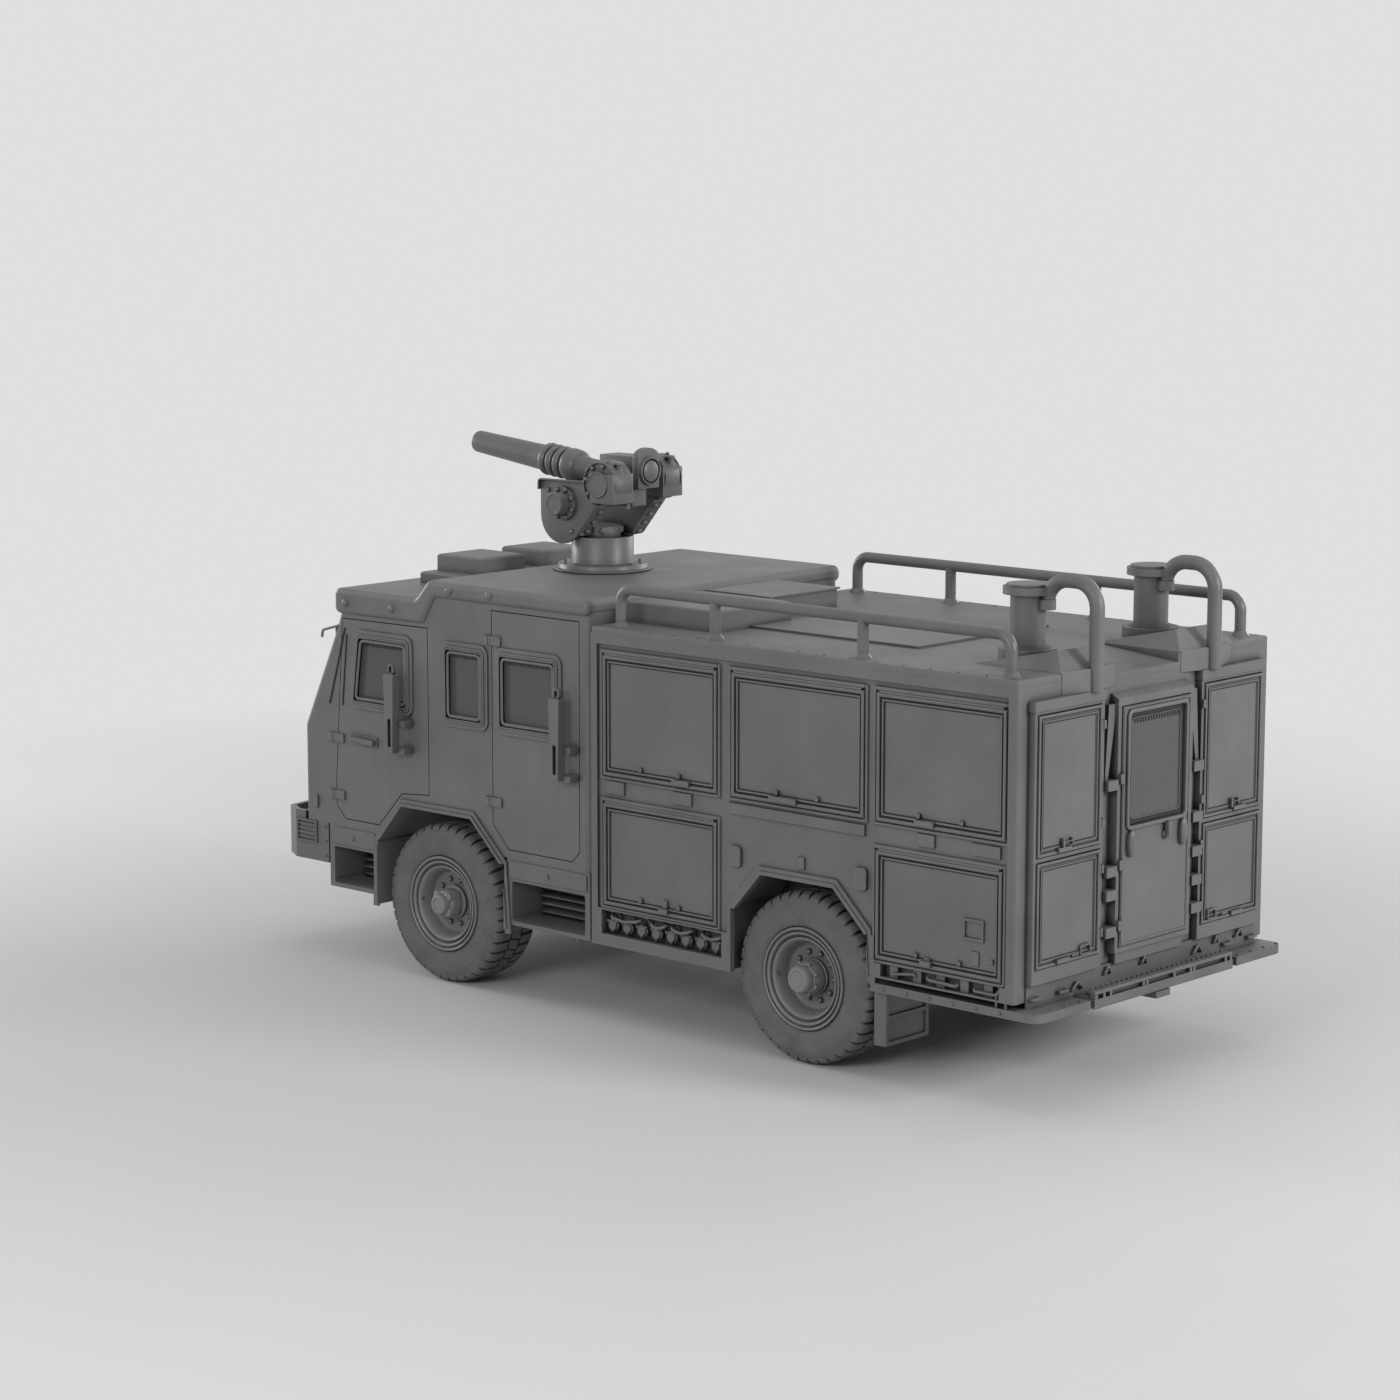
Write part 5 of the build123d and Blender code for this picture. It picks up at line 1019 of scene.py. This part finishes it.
# A coupling's cap as (distance in from the skin, radius)
CAP_PROFILE = [(0.066, 0), (0.066, 0.033), (0.040, 0.033), (0.038, 0.041), (0.022, 0.041), (0.018, 0.034),
               (0.006, 0.032), (0.003, 0.027), (0.003, 0)]


def coupling_mesh(side):
    """One capped coupling with its lugs and stay, at the end of the row."""
    bm = bmesh.new()
    back = side * (SKIN_Y - 0.066)
    lathe(bm, [(SKIN_Y - depth, radius) for depth, radius in CAP_PROFILE], (X(COUPLING_U), 0, CAP_Z), (0, 1, 0), 24,
          side)
    for n in range(3):
        angle = math.tau * n / 3 + 0.5
        place = Vector((X(COUPLING_U) + 0.040 * math.cos(angle), side * (SKIN_Y - 0.018),
                        COUPLING_Z + 0.040 * math.sin(angle)))
        add_rod(bm, place - Vector((0, 0.012, 0)), place + Vector((0, 0.012, 0)), 0.009, 8)
    add_rod(bm, (X(2.268), back, 0.600), (X(2.276), back + side * 0.03, 0.712), 0.008, 8)
    return finish_mesh("coupling", bm, FINISHES["trim_paint"])


# Bars over the couplings as (start, end), and tool bars as (start, end, their four heights, radius)
CARRYING_BARS = [(2.248, 2.420), (2.500, 2.676), (2.716, 2.850), (2.936, 3.190)]
TOOL_BARS = [(0.135, 0.300, (0.700, 0.688, 0.688, 0.700), 0.009), (0.420, 0.640, (0.705, 0.692, 0.700, 0.715), 0.011),
             (0.730, 0.900, (0.690, 0.716, 0.690, 0.690), 0.009)]
for side_name, side in SIDES:
    row = grow("couplings", coupling_mesh(side), ROW, count=COUPLINGS, step=(COUPLING_STEP, 0, 0),
               material=FINISHES["trim_paint"])
    add_piece(f"couplings_{side_name}", row, "truck")
    inner, outer = side * (SKIN_Y - 0.045), side * (SKIN_Y + 0.010)
    bars = [([(start, inner, 0.716), (start + 0.010, outer, 0.692), ((start + end) / 2, outer, 0.672),
              (end - 0.010, outer, 0.690), (end, inner, 0.716)], 0.011, 0.026) for start, end in CARRYING_BARS]
    pipes_piece(f"carrying_bars_{side_name}", bars, "truck", "trim_paint")
    inner, outer = side * (SKIN_Y - 0.010), side * (SKIN_Y + 0.008)
    tools = [(list(zip((start, start, end, end), (inner, outer, outer, inner), heights)), radius, 0.02)
             for start, end, heights, radius in TOOL_BARS]
    pipes_piece(f"tool_bars_{side_name}", tools, "truck", "trim_paint")

# Latches on the rear cabinet doors: two uprights joined by a thin bar, and a square loop on the lower doors.
# By side: the y of the big and the small upright, and the two ends of the loop
LATCHES = {"left": (0.888, 0.800, (0.610, 0.700)), "right": (-0.800, -0.872, (-0.660, -0.580))}
LATCH_U = -0.050
for side_name, side in SIDES:
    big, small, loop_y = LATCHES[side_name]
    bm = bmesh.new()
    add_box(bm, (LATCH_U - 0.020, LATCH_U + 0.004), (big - 0.008, big + 0.008), (1.520, 1.576), 0.003)
    add_box(bm, (LATCH_U - 0.016, LATCH_U + 0.004), (small - 0.006, small + 0.006), (1.534, 1.570), 0.002)
    add_rod(bm, (X(LATCH_U - 0.012), big, 1.546), (X(LATCH_U - 0.012), small, 1.556), 0.0045, 10)
    flat_piece(f"cabinet_latch_upper_{side_name}", bm, f"cabinet_door_upper_{side_name}_body", "trim_paint")
    bm = bmesh.new()
    bead_loop(bm, four_corners(*loop_y, 0.864, 0.915), 0.008, 0.014, LATCH_U, -0.014, plane="X")
    add_box(bm, (LATCH_U - 0.012, LATCH_U + 0.004), (side * 0.755 - 0.032, side * 0.755 + 0.032), (0.868, 0.880),
            0.003)
    flat_piece(f"cabinet_latch_lower_{side_name}", bm, f"cabinet_door_lower_{side_name}_body", "trim_paint")

# ---------------------------------------------------------------- lips, seals, beads and dark lines of painted shade
# Beads are (inset, corner radius, width, level, height), with levels out from the skin here
LOCKER_LIPS = [(0.012, 0.014, 0.022, SKIN_Y + 0.0115, 0.007), (0.041, 0.012, 0.014, SKIN_Y + 0.0065, 0.006)]
# Two dark rubber lines in each door's gap and at its panel's edge: painted shade where these fall in shadow
LOCKER_SHADE_LINES = [(0.0290, 0.012, 0.0095, SKIN_Y, 0.002), (0.0520, 0.010, 0.0060, SKIN_Y, 0.002)]
LOCKER_FRAME = [(-0.017, 0.016, 0.018, SKIN_Y + 0.0075, 0.007)]
for name, u0, u1, z0, z1 in LOCKERS:
    for side_name, side in SIDES:
        body = f"locker_{name}_{side_name}_body"
        door, frame_edge = four_corners(u0, u1, z0, z1), four_corners(u0, u1, z0, z1 + 0.010)
        beads_piece(f"locker_lips_{name}_{side_name}", [(door, LOCKER_LIPS)], body, "body_paint", side=side)
        # dark lines of painted shade in the door's gap and at its panel's edge
        beads_piece(f"locker_shade_lines_{name}_{side_name}", [(door, LOCKER_SHADE_LINES)], body, "tyre", dark_rubber_and_shade, side=side)
        beads_piece(f"locker_frame_lip_{name}_{side_name}", [(frame_edge, LOCKER_FRAME)], "truck", "body_paint",
                    side=side)

CABINETS = [("upper", 1.485, 2.312), ("lower", 0.835, 1.462)]
CABINET_Y = (0.517, 1.117)
CABINET_LIP = [(0.010, 0.012, 0.018, -0.0495, -0.006)]
CABINET_PANEL = [(0.040, 0.010, 0.011, -0.0475, -0.005)]
# Two dark rubber lines in each door's gap and at its panel's edge: painted shade where these fall in shadow
CABINET_SHADE_LINES = [(0.0270, 0.010, 0.0110, -0.0438, -0.002), (0.0560, 0.010, 0.0060, -0.0438, -0.002)]
for name, z0, z1 in CABINETS:
    for side_name, side in SIDES:
        y0, y1 = sorted((side * CABINET_Y[0], side * CABINET_Y[1]))
        body = f"cabinet_door_{name}_{side_name}_body"
        lips = [(four_corners(y0, y1, z0 + 0.005, z1 - 0.005), CABINET_LIP),
                (four_corners(y0, y1, z0 + 0.006, z1 - 0.006), CABINET_PANEL)]
        beads_piece(f"cabinet_lips_{name}_{side_name}", lips, body, "body_paint", plane="X")
        # dark lines of painted shade in the door's gap and at its panel's edge
        beads_piece(f"cabinet_shade_lines_{name}_{side_name}", [(four_corners(y0, y1, z0, z1), CABINET_SHADE_LINES)], body, "tyre",
                    dark_rubber_and_shade, plane="X")

PANE_Y = 1.180
# A dark rubber gasket round each pane, which also paints the shade of the recess round it
WINDOW_GASKET_AND_SHADE = [(0.014, 0.030, 0.026, PANE_Y + 0.001, 0.006)]
WINDOW_TRIM = [(0.032, 0.034, 0.008, PANE_Y + 0.001, 0.010), (0.028, 0.034, 0.022, 1.2115, 0.006),
               (0.007, 0.030, 0.012, 1.2195, 0.004)]
SIDE_WINDOWS = [
    ("front_door", "front_door_{}_body", [(5.053, 1.790), (5.592, 1.790), (5.535, 2.240), (5.053, 2.240)]),
    ("mid_pane", "truck", four_corners(4.347, 4.700, 1.771, 2.247)),
    ("crew_door", "crew_door_{}_body", four_corners(3.681, 4.200, 1.771, 2.250))]
for name, body, corners in SIDE_WINDOWS:
    for side_name, side in SIDES:
        body_name = body.format(side_name)
        # dark gasket that also paints the shade of the pane's recess
        beads_piece(f"window_seal_{name}_{side_name}", [(corners, WINDOW_GASKET_AND_SHADE)], body_name, "tyre", dark_rubber_and_shade,
                    side=side)
        beads_piece(f"window_trim_{name}_{side_name}", [(corners, WINDOW_TRIM)], body_name, "cab_paint", side=side)

DOOR_FACE_U = -0.070
REAR_PANE = four_corners(-0.279, 0.279, 1.560, 2.225)
# A dark rubber gasket round the rear pane, which also paints the shade of the recess round it
REAR_GASKET_AND_SHADE = [(0.014, 0.028, 0.026, -0.0565, -0.006)]
REAR_PANE_BEADS = [(0.033, 0.030, 0.008, -0.0565, -0.009), (-0.013, 0.036, 0.026, -0.0785, -0.010)]
REAR_DOOR_BEAD = [(0.008, 0.020, 0.014, DOOR_FACE_U, -0.007)]
beads_piece("rear_pane_gasket_and_shade", [(REAR_PANE, REAR_GASKET_AND_SHADE)], "rear_door_body", "tyre", dark_rubber_and_shade, plane="X")
beads_piece("rear_door_beads", [(REAR_PANE, REAR_PANE_BEADS), (four_corners(-0.335, 0.335, 0.853, 2.265),
                                                               REAR_DOOR_BEAD)],
            "rear_door_body", "body_paint", plane="X")
domes = bmesh.new()
for y in (-0.260, 0.260):
    lathe(domes, [(0.004, 0), (0.004, 0.033), (-0.022, 0.033), (-0.029, 0.030), (-0.034, 0.023), (-0.037, 0.012),
                  (-0.038, 0)], (X(DOOR_FACE_U), y, 1.456), (1, 0, 0), 40, squeeze=(1, 1, 2.45))
lathe(domes, [(0.004, 0), (0.004, 0.030), (-0.010, 0.030), (-0.014, 0.026), (-0.014, 0)],
      (X(DOOR_FACE_U), -0.095, 1.462), (1, 0, 0), 28)
add_box(domes, (-0.112, -0.082), (-0.110, -0.080), (1.452, 1.540), 0.010)
smooth_piece("rear_door_domes_and_lever", domes, "rear_door_body", "trim_paint")

# ---------------------------------------------------------------- rear deck and cab corners
# Kick plates under the rear door, and hooks on the upstand of the deck as (y, z, half width)
bm = bmesh.new()
add_box(bm, (0.004, 0.036), (-0.480, 0.480), (0.700, 0.898), 0.003)
add_box(bm, (-0.040, 0.006), (-0.338, 0.338), (0.740, 0.832), 0.004)
flat_piece("rear_kick_plates", bm, "truck", "body_paint")
HOOKS = [(0.690, 0.650, 0.050), (0.392, 0.690, 0.030), (0.030, 0.690, 0.026), (-0.520, 0.660, 0.044),
         (-0.716, 0.690, 0.020), (-0.960, 0.690, 0.036)]
hooks = [([(-0.010, y - half, z), (-0.032, y - half, z + 0.006), (-0.032, y, z + 0.052),
           (-0.032, y + half, z + 0.006), (-0.010, y + half, z)], 0.008, 0.014) for y, z, half in HOOKS]
hoop = [(0.135, 1.236, 0.612), (0.132, 1.242, 0.700), (0.101, 1.244, 0.724), (0.070, 1.242, 0.700),
        (0.066, 1.236, 0.612)]
pipes_piece("rear_hooks", hooks + [(hoop, 0.0085, 0.022)], "truck", "trim_paint")

# Tray along the rear step, open to the rear between its dividers, with a row of teeth behind its rail
bm = bmesh.new()
add_box(bm, (-0.1645, -0.118), (-0.695, 0.695), (0.640, 0.660), 0.003)
add_box(bm, (-0.1645, -0.126), (-0.695, 0.695), (0.556, 0.580), 0.003)
add_box(bm, (-0.136, -0.124), (-0.690, 0.690), (0.560, 0.655))
for y in (0.682, 0.604, 0.540, 0.215, 0.180, -0.095, -0.265, -0.300, -0.630, -0.682):
    add_box(bm, (-0.1635, -0.126), (y - 0.012, y + 0.012), (0.560, 0.655), 0.003)
flat_piece("rear_step_tray", bm, "truck", "step_metal")
bm = bmesh.new()
add_box(bm, (-0.116, -0.100), (-0.668, -0.650), (0.608, 0.668), 0.002)
tooth = finish_mesh("tooth", bm, FINISHES["step_metal"])
teeth = grow("teeth", tooth, ROW, count=27, step=(0, 0.0505, 0), material=FINISHES["step_metal"])
add_piece("rear_step_teeth", teeth, "truck")

# Strips on the front pillars, the bent rod at the windscreen's top corner and the drain under the crew step
DRAIN_PROFILE = [(0.462, 0), (0.462, 0.010), (0.470, 0.013), (0.495, 0.013), (0.495, 0)]
for side_name, side in SIDES:
    y = side * 1.2025
    strips = [([(5.671, y, 2.280), (5.752, y, 2.010), (5.834, y, 1.754)], 0.006, 0.01),
              ([(5.652, y, 2.236), (5.680, y, 1.990), (5.704, y, 1.755)], 0.005, 0.01)]
    pipes_piece(f"pillar_strips_{side_name}", strips, "truck", "tyre", dark_rubber_and_shade)
    rod = [(5.700, side * 1.190, 2.300), (5.900, side * 1.196, 2.244), (5.906, side * 1.196, 2.196)]
    pipes_piece(f"screen_rod_{side_name}", [(rod, 0.009, 0.016)], "truck", "trim_paint")
    bm = bmesh.new()
    lathe(bm, DRAIN_PROFILE, (X(3.540), side * 1.165, 0), (0, 0, 1), 20)
    smooth_piece(f"step_drain_{side_name}", bm, "truck", "trim_paint")

# ---------------------------------------------------------------- floor, camera and light
FLOOR_R = 16.0
FADE_START, FADE_END = 4.6, 12.5
bm = bmesh.new()
bmesh.ops.create_circle(bm, cap_ends=True, segments=96, radius=FLOOR_R)
floor_mesh = bpy.data.meshes.new("floor")
bm.to_mesh(floor_mesh)
bm.free()
floor_material, floor_tree, floor_shader = start_material("pale_floor")
soft_tone = noise(floor_tree, object_place(floor_tree), 0.6, 3.0)
from_middle = add_node(floor_tree, "ShaderNodeVectorMath", {0: object_place(floor_tree)},
                       operation="LENGTH").outputs["Value"]
feed(floor_tree, floor_shader, {
    "Base Color": mix_colour(floor_tree, soft_tone, (0.66, 0.66, 0.66), (0.70, 0.70, 0.70)), "Roughness": 0.9,
    "Specular IOR Level": 0.1, "Alpha": map_range(floor_tree, from_middle, FADE_START, FADE_END, 1.0, 0.0)})
floor_mesh.materials.append(floor_material)
new_object("floor", floor_mesh)

CAMERA_YAW, CAMERA_DIP = math.radians(-47.51), math.radians(9.093)
camera_data = bpy.data.cameras.new("camera")
camera_data.lens = 92.51
camera_data.sensor_width = 36.0
camera_data.clip_end = 900.0
camera = new_object("camera", camera_data)
camera.location = (-15.2305, 17.122, 5.595)
sight = Vector((math.cos(CAMERA_YAW) * math.cos(CAMERA_DIP), math.sin(CAMERA_YAW) * math.cos(CAMERA_DIP),
                -math.sin(CAMERA_DIP)))
camera.rotation_euler = sight.to_track_quat("-Z", "Y").to_euler()
scene.camera = camera

# Soft boxes as (name, place, height aimed at, width, depth, watts)
SOFT_BOXES = [("key_rear", (-13.5, -2.5, 6.0), 1.4, 3.5, 3.5, 860), ("fill_left", (-3.0, 14.0, 6.5), 1.4, 7, 4, 620),
              ("top", (0.5, 0.5, 11.0), 1.0, 8, 6, 120), ("front", (13.5, 2.0, 5.0), 1.4, 5, 4, 520),
              ("right", (-1.0, -14.0, 5.5), 1.4, 7, 4, 460)]
for name, place, aim_z, width, depth, watts in SOFT_BOXES:
    light = bpy.data.lights.new(name, "AREA")
    light.shape = "RECTANGLE"
    light.size, light.size_y = width, depth
    light.energy = watts
    lamp = new_object(name, light)
    lamp.location = place
    lamp.rotation_euler = (Vector((0, 0, aim_z)) - Vector(place)).to_track_quat("-Z", "Y").to_euler()

world = bpy.data.worlds.new("studio")
world.use_nodes = True
scene.world = world
world_tree = world.node_tree
background = world_tree.nodes["Background"]
rays = add_node(world_tree, "ShaderNodeLightPath")
seen = math_node(world_tree, "MAXIMUM", rays.outputs["Is Camera Ray"], rays.outputs["Is Glossy Ray"])
seen = math_node(world_tree, "MAXIMUM", seen, rays.outputs["Is Transmission Ray"])
feed(world_tree, background, {
    "Color": mix_colour(world_tree, seen, (0.36, 0.36, 0.365), (0.74, 0.74, 0.74)), "Strength": 1.0})
scene.view_settings.view_transform = "Standard"
